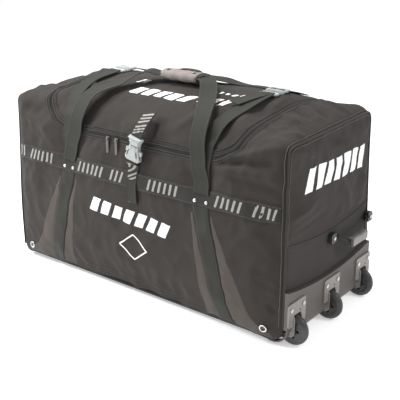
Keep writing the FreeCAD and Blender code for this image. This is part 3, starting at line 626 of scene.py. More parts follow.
def body_skin():
    """Front, rear and both fixed ends of the top, in one lofted cloth skin with the mouth left open."""
    reach = END_X - SEAM_INSET
    xs = columns(reach)
    front_rows, top_rows, rear_rows = 52, 46, 56
    inside = np.abs(xs) <= LID_HALF + 1e-6
    mouth = np.where(inside, mouth_s(xs), 1 + MOUTH_RISE)
    rows = [mouth * k / front_rows for k in range(front_rows + 1)]
    rows += [mouth + (2 - mouth) * k / top_rows for k in range(1, top_rows + 1)]
    rows += [2 + np.full_like(xs, k / rear_rows) for k in range(1, rear_rows + 1)]
    s = np.array(rows)
    points = skin_point(np.broadcast_to(xs, s.shape), s)
    row_number = np.arange(len(s))[:, None]
    hidden = ((row_number > front_rows) & (row_number < front_rows + top_rows)
              & (np.abs(xs)[None] < LID_HALF - 1e-6))
    x_all = np.broadcast_to(np.abs(xs), s.shape)
    at_mouth = ((row_number == front_rows) & inside[None]) | (
        (row_number >= front_rows) & (row_number <= front_rows + top_rows)
        & (np.abs(np.abs(xs) - LID_HALF) < 1e-6)[None]) | ((row_number == front_rows + top_rows) & inside[None])
    edge = (x_all > reach - 1e-4) | (row_number == 0) | (row_number == len(s) - 1)
    pins = np.where(at_mouth | edge, 1.0, 0.0)
    strap = np.exp(-((x_all - HANDLE_X) / 0.02) ** 2) * 0.12
    band = np.exp(-((points[..., 2] - BAND_HIGH) / 0.02) ** 2) * 0.1
    zip_hold = np.exp(-((points[..., 2] - ZIP_Z) / 0.022) ** 2) * (x_all < MOUTH_START + 0.03) * 0.5
    foot = np.exp(-((x_all - HANDLE_X) / 0.035) ** 2 - ((points[..., 2] - BAND_HIGH - 0.02) / 0.04) ** 2) * 0.9
    pins = np.maximum(pins, np.maximum(np.maximum(strap, band), foot))
    pins = np.maximum(pins, zip_hold * (points[..., 1] < 0))
    pins = np.maximum(pins, stiffened(reach - x_all))
    outward = np.zeros_like(points)
    outward[..., 1] = points[..., 1]
    outward[..., 2] = points[..., 2] - 0.3
    front_bulge = np.sin(math.pi * np.clip(s, 0, 1)) * (s < 1)
    rear_bulge = np.sin(math.pi * np.clip(s - 2, 0, 1)) * (s > 2)
    fall = np.clip((END_X - x_all) / 0.16, 0, 1)
    points[..., 1] += (rear_bulge - front_bulge) * 0.006 * smooth(fall)
    front = FRONT_Y + 0.001
    folds = [((0.380, -0.200, 0.520), (0.500, -0.120, 0.556), 0.012, 0.008),
             ((0.390, -0.150, 0.560), (0.496, -0.196, 0.530), 0.010, -0.008),
             ((0.385, -0.060, 0.580), (0.490, -0.100, 0.560), 0.013, 0.008),
             ((0.382, -0.010, 0.582), (0.492, -0.045, 0.566), 0.009, -0.006),
             ((0.395, 0.060, 0.580), (0.500, 0.010, 0.565), 0.013, -0.007),
             ((0.388, 0.110, 0.576), (0.494, 0.120, 0.562), 0.012, 0.007),
             ((-0.380, -0.190, 0.530), (-0.490, -0.130, 0.550), 0.013, 0.008),
             ((-0.376, -0.120, 0.556), (-0.496, -0.060, 0.560), 0.010, -0.006),
             ((-0.385, 0.020, 0.580), (-0.495, 0.050, 0.560), 0.014, -0.007),
             ((-0.380, 0.090, 0.576), (-0.492, 0.130, 0.556), 0.012, 0.007),
             ((-0.300, front, 0.440), (-0.480, front, 0.490), 0.016, 0.006),
             ((-0.310, front, 0.415), (-0.470, front, 0.430), 0.010, -0.004),
             ((0.405, front, 0.205), (0.497, front, 0.175), 0.009, 0.005),
             ((0.420, front, 0.165), (0.498, front, 0.150), 0.008, 0.005),
             ((0.430, front, 0.135), (0.496, front, 0.100), 0.009, -0.005),
             ((0.425, front, 0.300), (0.492, front, 0.235), 0.013, 0.005),
             ((-0.120, front, 0.320), (-0.040, front, 0.110), 0.030, 0.004),
             ((0.120, front, 0.090), (0.200, front, 0.200), 0.022, -0.004),
             ((-0.480, front, 0.340), (-0.440, front, 0.140), 0.020, 0.005)]
    for k, height in enumerate((0.540, 0.500, 0.460, 0.428)):
        start = (0.298, front, 0.478 - 0.012 * k)
        folds.append((start, (0.494, front + 0.004, height), 0.0105, 0.009 if k % 2 == 0 else -0.007))
    keep = ~hidden.ravel()
    return cloth_piece("body_cloth", points, keep, outward, pins, 1.6, 0.006, 0.016, folds)


def lid_skin():
    """Domed cloth lid inside the zip line."""
    xs = columns(LID_HALF - ZIP_GAP)
    top_rows = 56
    start = mouth_s(xs) + ZIP_GAP * 2
    s = np.array([start + (1.998 - start) * k / top_rows for k in range(top_rows + 1)])
    points = skin_point(np.broadcast_to(xs, s.shape), s)
    row_number = np.arange(len(s))[:, None]
    edge = (np.abs(points[..., 0]) > LID_HALF - ZIP_GAP - 1e-4) | (row_number == 0) | (row_number == top_rows)
    pins = np.where(edge, 1.0, stiffened(LID_HALF - np.abs(points[..., 0])))
    outward = np.zeros_like(points)
    outward[..., 1] = points[..., 1] * 0.5
    outward[..., 2] = 1.0
    folds = [((-0.335, -0.150, 0.560), (-0.200, -0.060, 0.592), 0.015, 0.006),
             ((-0.340, -0.060, 0.580), (-0.230, -0.110, 0.585), 0.012, -0.005),
             ((0.335, -0.170, 0.550), (0.240, -0.020, 0.590), 0.014, 0.007),
             ((0.345, -0.110, 0.568), (0.290, 0.010, 0.590), 0.010, -0.005),
             ((0.345, -0.060, 0.575), (0.300, 0.120, 0.590), 0.014, 0.006),
             ((0.130, -0.200, 0.530), (0.200, -0.130, 0.575), 0.016, 0.005),
             ((-0.100, -0.205, 0.520), (0.130, -0.205, 0.525), 0.020, 0.004)]
    keep = np.ones(points.shape[0] * points.shape[1], bool)
    return cloth_piece("lid_cloth", points, keep, outward, pins, 1.4, 0.006, 0.012, folds, CRUMPLE * 0.45)


def end_skin(side, bottom, name, folds):
    """Cloth end panel, sewn to the skin all the way round the arch."""
    x = side * (END_X - SEAM_INSET)
    s = np.linspace(0.02, 2.98, 600)
    loop = skin_point(np.full_like(s, x), s)
    loop = loop[loop[:, 2] >= bottom]
    front_corner = int(np.argmax(loop[:, 2] - loop[:, 1] * 1.0))
    rear_corner = int(np.argmax(loop[:, 2] + loop[:, 1] * 1.0))
    rows, cols = 46, 44
    left = resample(loop[:front_corner + 1], rows)
    top = resample(loop[front_corner:rear_corner + 1], cols)
    right = resample(loop[rear_corner:][::-1], rows)
    base = resample(np.array([left[0], right[0]]), cols)
    u = np.linspace(0, 1, cols)[None, :, None]
    v = np.linspace(0, 1, rows)[:, None, None]
    sides = left[:, None] * (1 - u) + right[:, None] * u
    ends = base[None] * (1 - v) + top[None] * v
    corners = ((1 - u) * (1 - v) * left[0] + u * (1 - v) * right[0] + (1 - u) * v * left[-1] + u * v * right[-1])
    points = sides + ends - corners
    points[..., 0] += side * 0.005 * np.sin(math.pi * u[..., 0]) ** 0.6 * np.sin(math.pi * v[..., 0]) ** 0.6
    pins = np.zeros((rows, cols))
    for at in (np.s_[0, :], np.s_[-1, :], np.s_[:, 0], np.s_[:, -1]):
        pins[at] = 1.0
    from_seam = np.minimum(np.minimum(points[..., 1] - FRONT_Y, REAR_Y - points[..., 1]),
                           HINGE_Z + 0.012 - points[..., 2])
    pins = np.maximum(pins, stiffened(from_seam))
    if side > 0:
        pins = np.maximum(pins, (points[..., 2] < 0.300) * 0.92)
    outward = np.zeros_like(points)
    outward[..., 0] = side
    keep = np.ones(rows * cols, bool)
    return cloth_piece(name, points, keep, outward, pins, 1.3, 0.006, 0.010, folds)


def base_skin():
    """Cloth under the base board, between the runners."""
    xs = spread(-END_X + 0.012, END_X - CORNERS[1], 0.02)
    ys = spread(FRONT_Y + HEM - 0.006, REAR_Y - HEM + 0.006, 0.02)
    points = np.zeros((len(ys), len(xs), 3))
    points[..., 0], points[..., 1] = np.meshgrid(xs, ys)
    points[..., 2] = BASE_Z + 0.0016
    normals = np.zeros_like(points)
    normals[..., 2] = -1
    return slab("base_cloth", points, normals, -0.0012, 0.0012, "dark_cloth")


BODY_CLOTH, BODY_TREE = body_skin()
place(BODY_CLOTH, "bag_body", "front_panel", "rear_panel", "top_gusset_left", "top_gusset_right")
LID_CLOTH, LID_TREE = lid_skin()
place(LID_CLOTH, "lid", "lid_panel")
WHEEL_END, WHEEL_END_TREE = end_skin(1, 0.118, "wheel_end_cloth", [
    ((0.505, -0.215, 0.540), (0.505, -0.090, 0.495), 0.012, 0.006),
    ((0.505, -0.200, 0.350), (0.505, -0.080, 0.375), 0.012, 0.006),
    ((0.505, -0.180, 0.310), (0.505, -0.020, 0.330), 0.012, -0.005),
    ((0.505, -0.060, 0.540), (0.505, 0.060, 0.500), 0.011, -0.005),
    ((0.505, 0.050, 0.385), (0.505, 0.100, 0.300), 0.013, 0.006),
    ((0.505, 0.100, 0.550), (0.505, 0.180, 0.500), 0.011, 0.005),
    ((0.505, 0.200, 0.350), (0.505, 0.140, 0.390), 0.013, 0.006),
    ((0.505, -0.190, 0.240), (0.505, -0.090, 0.190), 0.012, 0.005),
    ((0.505, -0.060, 0.250), (0.505, 0.040, 0.180), 0.014, -0.005)])
place(WHEEL_END, "bag_body", "wheel_end_panel")
LEFT_END, LEFT_END_TREE = end_skin(-1, 0.030, "left_end_cloth", [
    ((-0.505, -0.120, 0.180), (-0.505, -0.060, 0.480), 0.020, 0.005),
    ((-0.505, 0.140, 0.160), (-0.505, 0.080, 0.440), 0.018, 0.005)])
place(LEFT_END, "bag_body", "left_end_panel")
place(base_skin(), "bag_body", "base_panel")


# ---- trim laid on the cloth ------------------------------------------------------------------

def laid(tree, points):
    """The points moved onto the cloth, and the cloth's smooth normals there."""
    shape = points.shape
    found = [tree.find_nearest(Vector(p)) for p in points.reshape(-1, 3)]
    places = np.array([f[0] for f in found]).reshape(shape)
    facing = np.array([f[1] for f in found]).reshape(shape)
    return places, grid_normals(places, facing)


def wall_grid(zs, x_left, x_right, cols, y):
    """Grid on the front or rear wall whose side edges are functions of height."""
    rows = []
    for z in zs:
        xs = np.linspace(x_left(z), x_right(z), cols)
        rows.append(np.stack([xs, np.full(cols, y), np.full(cols, z)], axis=1))
    return np.array(rows)


def wall_patch(name, tree, zs, x_left, x_right, cols, over, slot, y=FRONT_Y - OUTSIDE, under=-0.0006):
    points, normals = laid(tree, wall_grid(zs, x_left, x_right, cols, y))
    return slab(name, points, normals, under, over, slot)


def stitch_line(tree, path, lift, pitch=0.0055, size=0.0009):
    """Thread stitches along a line on the cloth, as the points and faces of small spindles."""
    count = max(2, int(np.linalg.norm(np.diff(path, axis=0), axis=1).sum() / pitch))
    centres = resample(path, count)
    ahead = unit(np.gradient(centres, axis=0))
    found = [tree.find_nearest(Vector(p)) for p in centres]
    centres = np.array([f[0] for f in found])
    normals = np.array([f[1] for f in found])
    side = np.cross(ahead, normals)
    centres = centres + normals * lift
    half = pitch * 0.36
    corners = np.stack([centres - ahead * half, centres + side * size, centres + normals * size * 0.7,
                        centres - side * size, centres - normals * size, centres + ahead * half], axis=1)
    return corners


SPINDLE = [(0, 1, 2), (0, 2, 3), (0, 3, 4), (0, 4, 1), (5, 2, 1), (5, 3, 2), (5, 4, 3), (5, 1, 4)]


def stitching(name, lines, slot="thread"):
    corners = np.concatenate(lines)
    faces = [tuple(6 * i + k for k in f) for i in range(len(corners)) for f in SPINDLE]
    verts = corners.reshape(-1, 3)
    return make_piece(name, verts, faces, verts[:, :2], slot)


def front_line(x0, z0, x1, z1, y=FRONT_Y - OUTSIDE):
    return np.array([(x0, y, z0), (x1, y, z1)])


def straight(a, b):
    """Linear function of height through two (height, x) points."""
    return lambda z: a[1] + (b[1] - a[1]) * (z - a[0]) / (b[0] - a[0])


BODY_STITCHES = []
LID_STITCHES = []


def webbing_band(name, y, node):
    """Band round the wall between the end seams, with a woven edge."""
    rows = BAND_LOW + (BAND_HIGH - BAND_LOW) * np.array([0, 0.03, 0.07, 0.12, 0.3, 0.5, 0.7, 0.88, 0.93, 0.97, 1])
    piece = wall_patch(name, BODY_TREE, rows, lambda z: -END_X + 0.010, lambda z: END_X - 0.010, 110, 0.0024,
                       "band_webbing", y)
    for z in (BAND_LOW + 0.005, BAND_HIGH - 0.005):
        BODY_STITCHES.append(stitch_line(BODY_TREE, front_line(-END_X + 0.012, z, END_X - 0.012, z, y), 0.0026))
    return place(piece, "bag_body", node)


webbing_band("front_band_webbing", FRONT_Y - OUTSIDE, "front_band")
webbing_band("rear_band_webbing", REAR_Y + OUTSIDE, "rear_band")

SEWN_FOOT_X = 0.334
STRAP_HALF = WEB_WIDTH / 2


def sewn_strap(side, y, name):
    """Webbing sewn from the band down to the hem, splayed outwards."""
    top, foot = BAND_LOW + 0.004, BASE_Z + 0.006
    centre = straight((foot, side * SEWN_FOOT_X), (top, side * HANDLE_X))
    zs = np.linspace(foot, top, 40)
    piece = wall_patch(name, BODY_TREE, zs, lambda z: centre(z) - STRAP_HALF, lambda z: centre(z) + STRAP_HALF,
                       9, 0.0028, "webbing", y)
    for offset in (-STRAP_HALF + 0.004, STRAP_HALF - 0.004):
        line = np.array([(centre(z) + offset, y, z) for z in (foot + 0.004, top - 0.004)])
        BODY_STITCHES.append(stitch_line(BODY_TREE, line, 0.0030))
    return piece


place(joined("sewn_webbing", [sewn_strap(side, y, "strap") for side in (-1, 1)
                              for y in (FRONT_Y - OUTSIDE, REAR_Y + OUTSIDE)]), "bag_body", "sewn_straps")


def inserts():
    """Lighter pointed inserts each side of the front sewn straps, the outer ones widening to the corner."""
    made = []
    foot, top = BASE_Z + 0.006, 0.322
    for side in (-1, 1):
        inner_edge = straight((foot, side * (SEWN_FOOT_X + 0.026)), (top, side * (HANDLE_X + 0.034)))
        spear = straight((foot, side * 0.440), (top, side * (HANDLE_X + 0.038)))

        def outer_edge(z, side=side, spear=spear):
            widening = np.clip((0.090 - z) / 0.060, 0, 1)
            return spear(z) + side * widening * (END_X - 0.020 - 0.445) * smooth(widening)

        zs = np.linspace(foot, top, 46)
        made.append(wall_patch("insert", BODY_TREE, zs, inner_edge, outer_edge, 10, 0.0009, "insert_cloth"))
        edge = np.array([(outer_edge(z) - side * 0.003, FRONT_Y - OUTSIDE, z) for z in zs[:-3]])
        BODY_STITCHES.append(stitch_line(BODY_TREE, edge, 0.0012))
        near = straight((foot, side * (SEWN_FOOT_X - 0.072)), (top, side * (HANDLE_X - 0.030)))
        far = straight((foot, side * (SEWN_FOOT_X - 0.026)), (top, side * (HANDLE_X - 0.024)))
        made.append(wall_patch("insert", BODY_TREE, zs, near, far, 6, 0.0009, "insert_cloth"))
        edge = np.array([(near(z) + side * 0.003, FRONT_Y - OUTSIDE, z) for z in zs[:-3]])
        BODY_STITCHES.append(stitch_line(BODY_TREE, edge, 0.0012))
    return joined("insert_panels", made)


place(inserts(), "bag_body", "front_inserts")


# ---- plain bars in place of printed marks ----------------------------------------------------

def bar_row(tree, corner, along, up, count, width, pitch, height, slant, over, slot):
    """Slanted plain bars in a row: corner is the row's lower start, along and up its directions."""
    corner, along, up = (np.array(v, float) for v in (corner, along, up))
    made = []
    for i in range(count):
        start = corner + along * (i * pitch)
        grid = np.array([[start + up * height * v + along * (slant * v + width * u)
                          for u in np.linspace(0, 1, 6)] for v in np.linspace(0, 1, 12)])
        points, normals = laid(tree, grid)
        made.append(slab("bar", points, normals, -0.0004, over, slot))
    return made


def band_marks():
    """Groups of grey slanted bars woven along the band, clear of the straps that cross it."""
    made = []
    for y in (FRONT_Y - OUTSIDE, REAR_Y + OUTSIDE):
        for start, count in ((-0.492, 2), (-0.430, 6), (-0.212, 6), (-0.078, 3), (0.066, 6), (0.292, 5),
                             (0.412, 4)):
            made += bar_row(BODY_TREE, (start, y, BAND_LOW + 0.007), (1, 0, 0), (0, 0, 1), count, 0.0105, 0.0185,
                            0.036, 0.009, 0.0028, "print_grey")
    return joined("band_marks", made)


def big_marks():
    """White slanted bars on the front and the wheel end."""
    front = bar_row(BODY_TREE, (-0.160, FRONT_Y - OUTSIDE, 0.246), (1, 0, -0.07), (0, 0, 1), 7,
                    0.030, 0.044, 0.042, 0.018, 0.0012, "print_white")
    end = bar_row(WHEEL_END_TREE, (END_X + OUTSIDE, -0.150, 0.408), (0, 1, 0), (0, 0, 1), 7,
                  0.032, 0.046, 0.062, 0.020, 0.0012, "print_white")
    return joined("white_marks", front + end)


def lid_marks():
    """The same bars across the top of the lid."""
    made = []
    for start, count, width, pitch, height in (((-0.112, -0.138, 0.640), 5, 0.032, 0.045, 0.052),
                                               ((0.128, -0.118, 0.640), 3, 0.022, 0.034, 0.046),
                                               ((-0.150, -0.052, 0.640), 2, 0.012, 0.022, 0.030),
                                               ((0.150, -0.040, 0.640), 4, 0.010, 0.024, 0.014)):
        made += bar_row(LID_TREE, start, (1, 0, 0), (0, 1, 0), count, width, pitch, height, height * 0.28,
                        0.0012, "print_white")
    return joined("lid_marks", made)


def lozenge():
    """Outline of a plain lozenge under the front bars."""
    centre = np.array([0.010, FRONT_Y - OUTSIDE, 0.165])
    points = [centre + np.array([dx, 0, dz]) for dx, dz in ((0, 0.040), (0.052, 0), (0, -0.040), (-0.052, 0))]
    made = []
    for a, b in zip(points, points[1:] + points[:1]):
        along = unit(b - a)
        across = np.cross(along, [0, 1, 0]) * 0.002
        line = resample(np.array([a, b]), 12)
        grid = np.array([[p + across * k for p in line] for k in (-1, 0, 1)])
        placed, normals = laid(BODY_TREE, grid)
        made.append(slab("side", placed, normals, -0.0004, 0.0011, "print_white"))
    return joined("front_lozenge", made)


place(band_marks(), "bag_body")
place(big_marks(), "bag_body")
place(lozenge(), "bag_body")
place(lid_marks(), "lid")

# ---- zip ---------------------------------------------------------------------------------------


def zip_line():
    """The zip from the left of the hinge line, round the front and back on the right."""
    side_s = np.linspace(1.985, 1 + MOUTH_RISE, 44)
    x = columns(LID_HALF)
    left = skin_point(np.full_like(side_s, -LID_HALF), side_s)
    front = skin_point(x, mouth_s(x))
    right = skin_point(np.full_like(side_s, LID_HALF), side_s[::-1])
    return resample(np.concatenate([left[:-1], front, right[1:]]), 420)


ZIP_LINE = zip_line()
ZIP_AHEAD = unit(np.gradient(ZIP_LINE, axis=0))


def zip_frame():
    """Outward normal and direction into the lid at each point of the zip."""
    found = [BODY_TREE.find_nearest(Vector(p)) for p in ZIP_LINE]
    normal = np.array([f[1] for f in found])
    lid_found = [LID_TREE.find_nearest(Vector(p)) for p in ZIP_LINE]
    normal = unit(normal + np.array([f[1] for f in lid_found]))
    for _ in range(3):
        normal = unit(normal + np.roll(normal, 1, axis=0) * 0.5 + np.roll(normal, -1, axis=0) * 0.5)
    normal = unit(normal - ZIP_AHEAD * (normal * ZIP_AHEAD).sum(axis=1, keepdims=True))
    into = np.cross(ZIP_AHEAD, normal)
    toward = np.array([0.0, 0.02, CROWN_Z]) - ZIP_LINE
    sign = np.sign((into * toward).sum(axis=1, keepdims=True))
    return normal, into * sign


ZIP_NORMAL, ZIP_INTO = zip_frame()


def zip_tape(name, tree, side, slot="zip_cloth"):
    """Woven tape beside the teeth, on the body (side -1) or on the lid (side 1)."""
    offsets = np.array([0.0018, 0.004, 0.008, 0.012, TAPE]) * side
    grid = ZIP_LINE[None] + ZIP_INTO[None] * offsets[:, None, None]
    points, normals = laid(tree, grid)
    points[0] = ZIP_LINE + ZIP_INTO * offsets[0]
    lines = BODY_STITCHES if side < 0 else LID_STITCHES
    for row in (2, 4):
        lines.append(stitch_line(tree, points[row] - ZIP_INTO * side * 0.0015, 0.0016))
    return slab(name, points, normals, -0.0006, 0.0012, slot)


def zip_teeth(name, side):
    """Coil of teeth along one edge of the zip."""
    count = 1500
    path = resample(ZIP_LINE + ZIP_INTO * side * 0.0013 + ZIP_NORMAL * 0.0004, count)
    radii = 0.0011 + 0.0005 * (np.arange(count) % 2)
    return tube(name, path, radii, "zip_cloth", sides=6)


place(zip_tape("zip_tape_body", BODY_TREE, -1), "bag_body", "body_zip_tape")
place(zip_tape("zip_tape_lid", LID_TREE, 1), "lid", "lid_zip_tape")
place(zip_teeth("zip_coil_body", -1), "bag_body")
place(zip_teeth("zip_coil_lid", 1), "lid")


def lid_rim():
    """Rolled hem just inside the lid's tape."""
    rim = ZIP_LINE + ZIP_INTO * (TAPE + 0.003)
    found = [LID_TREE.find_nearest(Vector(p)) for p in rim]
    path = np.array([f[0] for f in found]) + np.array([f[1] for f in found]) * 0.0006
    return tube("lid_rim", resample(path, 300), 0.0022, "shell_cloth", sides=8)


place(lid_rim(), "lid")

# ---- piping ------------------------------------------------------------------------------------


END_TREES = {-1: LEFT_END_TREE, 1: WHEEL_END_TREE}


def seam_path(side, bottom, out):
    """Line of the end seam, out by that distance from the panel's edge."""
    s = np.linspace(0.03, 2.97, 700)
    x = side * (END_X - SEAM_INSET)
    loop = skin_point(np.full_like(s, x), s)
    loop = loop[loop[:, 2] >= bottom]
    tangent = unit(np.gradient(loop, axis=0))
    outward = np.stack([np.zeros(len(loop)), -tangent[:, 2], tangent[:, 1]], axis=1)
    return loop + outward * out


def piping(side, bottom, name, node):
    """Dark corded edge with a thin pale line sewn on each side of it."""
    cord = seam_path(side, bottom, 0.0012)
    cord[:, 0] += side * 0.0015
    outer = tube("cord", resample(cord, 320), 0.0028, "piping")
    place(outer, "bag_body", node)
    outer.name = name
    lines = []
    for tree, inset, drop in ((BODY_TREE, 0.011, 0.0), (END_TREES[side], -0.004, 0.007)):
        path = seam_path(side, bottom, -drop)
        path[:, 0] -= side * inset
        found = [tree.find_nearest(Vector(p)) for p in path]
        path = np.array([f[0] for f in found]) + np.array([f[1] for f in found]) * 0.0004
        lines.append(tube("line", resample(path, 320), 0.0009, "thread", sides=6))
    place(joined(name + "_lines", lines), "bag_body")


piping(-1, 0.034, "left_end_cord", "left_end_piping")
piping(1, 0.060, "wheel_end_cord", "wheel_end_piping")


def hem_lines():
    """Stitched hem along the foot of the front and rear walls."""
    for y in (FRONT_Y - OUTSIDE, REAR_Y + OUTSIDE):
        for z in (BASE_Z + 0.022, BASE_Z + 0.032):
            xs = np.linspace(-END_X + 0.02, END_X - 0.02, 120)
            rise = turn_in(xs - (END_X - CORNERS[1]), CORNERS[1])
            line = np.stack([xs, np.full_like(xs, y), z + rise], axis=1)
            BODY_STITCHES.append(stitch_line(BODY_TREE, line, 0.0006))


hem_lines()

# ---- wheel end ---------------------------------------------------------------------------------


def patch_edge(y):
    """Height of the patch's top edge, dipping towards the middle."""
    return 0.289 - 0.022 * (1 - (y / REAR_Y) ** 2)


def wheel_end_patch():
    """Second layer of heavy cloth above the kick panel, with a turned and stitched top edge."""
    ys = np.linspace(FRONT_Y + 0.006, REAR_Y - 0.006, 60)
    shares = np.linspace(0, 1, 18)
    grid = np.array([[(END_X + OUTSIDE, y, 0.130 + (patch_edge(y) - 0.130) * v) for y in ys] for v in shares])
    points, normals = laid(WHEEL_END_TREE, grid)
    for drop in (0.004, 0.011):
        line = np.array([(END_X + OUTSIDE, y, patch_edge(y) - drop) for y in ys])
        BODY_STITCHES.append(stitch_line(WHEEL_END_TREE, line, 0.0022))
    over = np.full((len(shares), len(ys)), 0.0018)
    over[-3:] = 0.0026
    return slab("end_patch_cloth", points, normals, -0.0006, over, "shell_cloth")


place(wheel_end_patch(), "bag_body", "end_patch")


def rings_and_studs():
    """Rivets through the band and the rings in the lower corners, with a black disc of painted shade in each ring.
    """
    studs, rings, hole_shades = [], [], []
    turn = np.linspace(0, 2 * math.pi, 24, endpoint=False)
    for side in (-1, 1):
        for y in (FRONT_Y - OUTSIDE, REAR_Y + OUTSIDE):
            for x in (HANDLE_X - 0.018, HANDLE_X + 0.018):
                found = BODY_TREE.find_nearest(Vector((side * x, y, BAND_LOW + 0.014)))
                centre, normal = np.array(found[0]), np.array(found[1])
                path = centre + normal * np.linspace(0.002, 0.0062, 6)[:, None]
                studs.append(tube("stud", path, np.array([5, 5, 4.8, 4.0, 2.4, 0.4]) / 1000, "nickel", 16))
            found = BODY_TREE.find_nearest(Vector((side * 0.456, y, 0.048)))
            centre, normal = np.array(found[0]), np.array(found[1])
            across = unit(np.cross(normal, [0, 0, 1]))
            up = np.cross(across, normal)
            path = centre + normal * 0.0022 + 0.0092 * (np.cos(turn)[:, None] * across + np.sin(turn)[:, None] * up)
            rings.append(tube("ring", path, 0.0021, "nickel", 8, closed=True))
            # a black disc in each ring is painted shade, standing for the dark hole through the grommet
            hole_shade = centre + normal * np.linspace(0.0002, 0.0016, 3)[:, None]
            hole_shades.append(tube("hole_shade", hole_shade, 0.0078, "black_plastic", 20))
    place(joined("corner_rings", rings), "bag_body", "grommets")
    place(joined("corner_hole_shades", hole_shades), "bag_body")
    place(joined("rivet_heads", studs), "bag_body", "strap_rivets")


rings_and_studs()

# ---- free webbing --------------------------------------------------------------------------------

EDGE_BEAD = [(-0.5, 0.7), (-0.475, 1.15), (-0.44, 1.2), (-0.41, 0.9), (-0.2, 1.0), (0.0, 1.03), (0.2, 1.0),
             (0.41, 0.9), (0.44, 1.2), (0.475, 1.15), (0.5, 0.7)]


def webbing(name, control, width=WEB_WIDTH, thickness=WEB, side=(1, 0, 0), rest=(), lift=0.0016, up=(0, 0, 1),
            stitches=None):
    """Flat webbing along a smooth line. rest lists the cloth it lies on, which pushes it outwards."""
    line = curve_through(control)
    side = np.broadcast_to(np.asarray(side, float), line.shape).copy()
    tangent = unit(np.gradient(line, axis=0))
    side = unit(side - tangent * (side * tangent).sum(axis=1, keepdims=True))
    offsets = np.array([u for u, _ in EDGE_BEAD]) * width
    grid = line[:, None] + side[:, None] * offsets[None, :, None]
    facing = np.cross(side, tangent)
    sign = np.sign((facing * (np.asarray(up, float) + (line - [0, 0, 0.3]))).sum(axis=1).mean())
    facing = facing * sign
    for tree in rest:
        push = np.zeros(len(line))
        for column in (0, 2, 5, 8, 10):
            for i, p in enumerate(grid[:, column]):
                nearest, normal, _, distance = tree.find_nearest(Vector(p))
                if distance < 0.04:
                    depth = float((Vector(p) - nearest) @ normal)
                    push[i] = max(push[i], lift - depth)
        for _ in range(3):
            spreading = np.maximum(push, 0.5 * (np.roll(push, 1) + np.roll(push, -1)))
            push = 0.5 * (spreading + 0.5 * (np.roll(spreading, 1) + np.roll(spreading, -1)))
        grid = grid + facing[:, None] * push[:, None, None]
    normals = grid_normals(grid, np.broadcast_to(facing[:, None], grid.shape))
    over = np.array([h for _, h in EDGE_BEAD])[None] * thickness / 2
    if stitches is not None:
        for column in (2, 8):
            path = grid[:, column] + normals[:, column] * thickness * 0.55
            stitches.append(path_stitches(path, normals[:, column]))
    return slab(name, grid, normals, -over * np.ones((len(line), 1)), over * np.ones((len(line), 1)), "webbing")


def path_stitches(path, normals, pitch=0.0055, size=0.0008):
    """Stitches along a line in space, in the shape that stitching() takes."""
    count = max(2, int(np.linalg.norm(np.diff(path, axis=0), axis=1).sum() / pitch))
    centres = resample(path, count)
    up = unit(resample(normals, count))
    ahead = unit(np.gradient(centres, axis=0))
    side = np.cross(ahead, up)
    half = pitch * 0.36
    return np.stack([centres - ahead * half, centres + side * size, centres + up * size * 0.7,
                     centres - side * size, centres - up * size, centres + ahead * half], axis=1)


GRIP_LOW, GRIP_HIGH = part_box("grip_wrap")
GRIP_CENTRE = (GRIP_LOW + GRIP_HIGH) / 2
GRIP_HALF = GRIP_HIGH.x
FOOT_Z = low("front_handle_webbing").z
LEFT_LEG_SWAY = 0.018               # the left legs lie nearer the middle than the right ones
LEFT_LEG_HUMP = 0.010               # and the front one stands up where it turns into the grip


def haul_leg_front():
    """Right leg of the front haul handle, from the band up to the grip."""
    return [(HANDLE_X, FRONT_Y - 0.0060, FOOT_Z), (HANDLE_X - 0.001, FRONT_Y - 0.0085, 0.410),
            (HANDLE_X - 0.012, FRONT_Y - 0.0085, 0.460), (HANDLE_X - 0.020, FRONT_Y - 0.003, 0.520),
            (0.216, -0.186, 0.578), (0.172, -0.110, 0.602), (0.126, -0.045, 0.619),
            (GRIP_HALF + 0.024, GRIP_CENTRE.y - 0.004, GRIP_CENTRE.z), (GRIP_HALF - 0.012, GRIP_CENTRE.y,
                                                                       GRIP_CENTRE.z)]


def haul_leg_rear():
    """Right leg of the rear haul handle."""
    y = REAR_Y + 0.0045
    middle = (low("rear_handle_fold") + high("rear_handle_fold")) / 2
    return [(HANDLE_X, y, FOOT_Z), (HANDLE_X - 0.001, y + 0.002, 0.420), (HANDLE_X - 0.003, y + 0.002, 0.480),
            (HANDLE_X - 0.010, y, 0.535), (0.215, 0.190, 0.576), (0.160, 0.125, 0.588), (0.105, 0.080, 0.600),
            (0.062, middle.y + 0.002, middle.z), (0.020, middle.y, middle.z)]


def haul_handles():
    """Both haul handles, bending at the band where their feet are sewn."""
    for name, leg, body, node, sign in (
            ("front_haul_webbing", haul_leg_front(), "front_handle", "front_handle_webbing", -1),
            ("rear_haul_webbing", haul_leg_rear(), "rear_handle", "rear_handle_webbing", 1)):
        stitches = []
        made = []
        lift = 0.0052 if sign < 0 else 0.0016       # the front legs cross over the buckled straps
        for mirror in (-1, 1):
            sway = LEFT_LEG_SWAY if mirror < 0 else 0.0
            hump = LEFT_LEG_HUMP if mirror * sign > 0 else 0.0
            control = np.array([(mirror * x + sway * math.sin(math.pi * k / (len(leg) - 1)), y, z)
                                for k, (x, y, z) in enumerate(leg)])
            control[-3, 2] += hump
            total = len(curve_through(control))
            turn = smooth((np.arange(total) / total - 0.50) / 0.40)
            across = mirror * -sign * turn
            side = np.stack([1 - turn * 0.98, across, np.zeros(total)], axis=1)
            made.append(webbing("leg", control, side=side, rest=(BODY_TREE, LID_TREE), lift=lift,
                                stitches=stitches))
        piece = joined(name, made)
        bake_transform(piece)
        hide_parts(node)
        thread = stitching(name + "_thread", stitches)
        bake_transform(thread)


haul_handles()


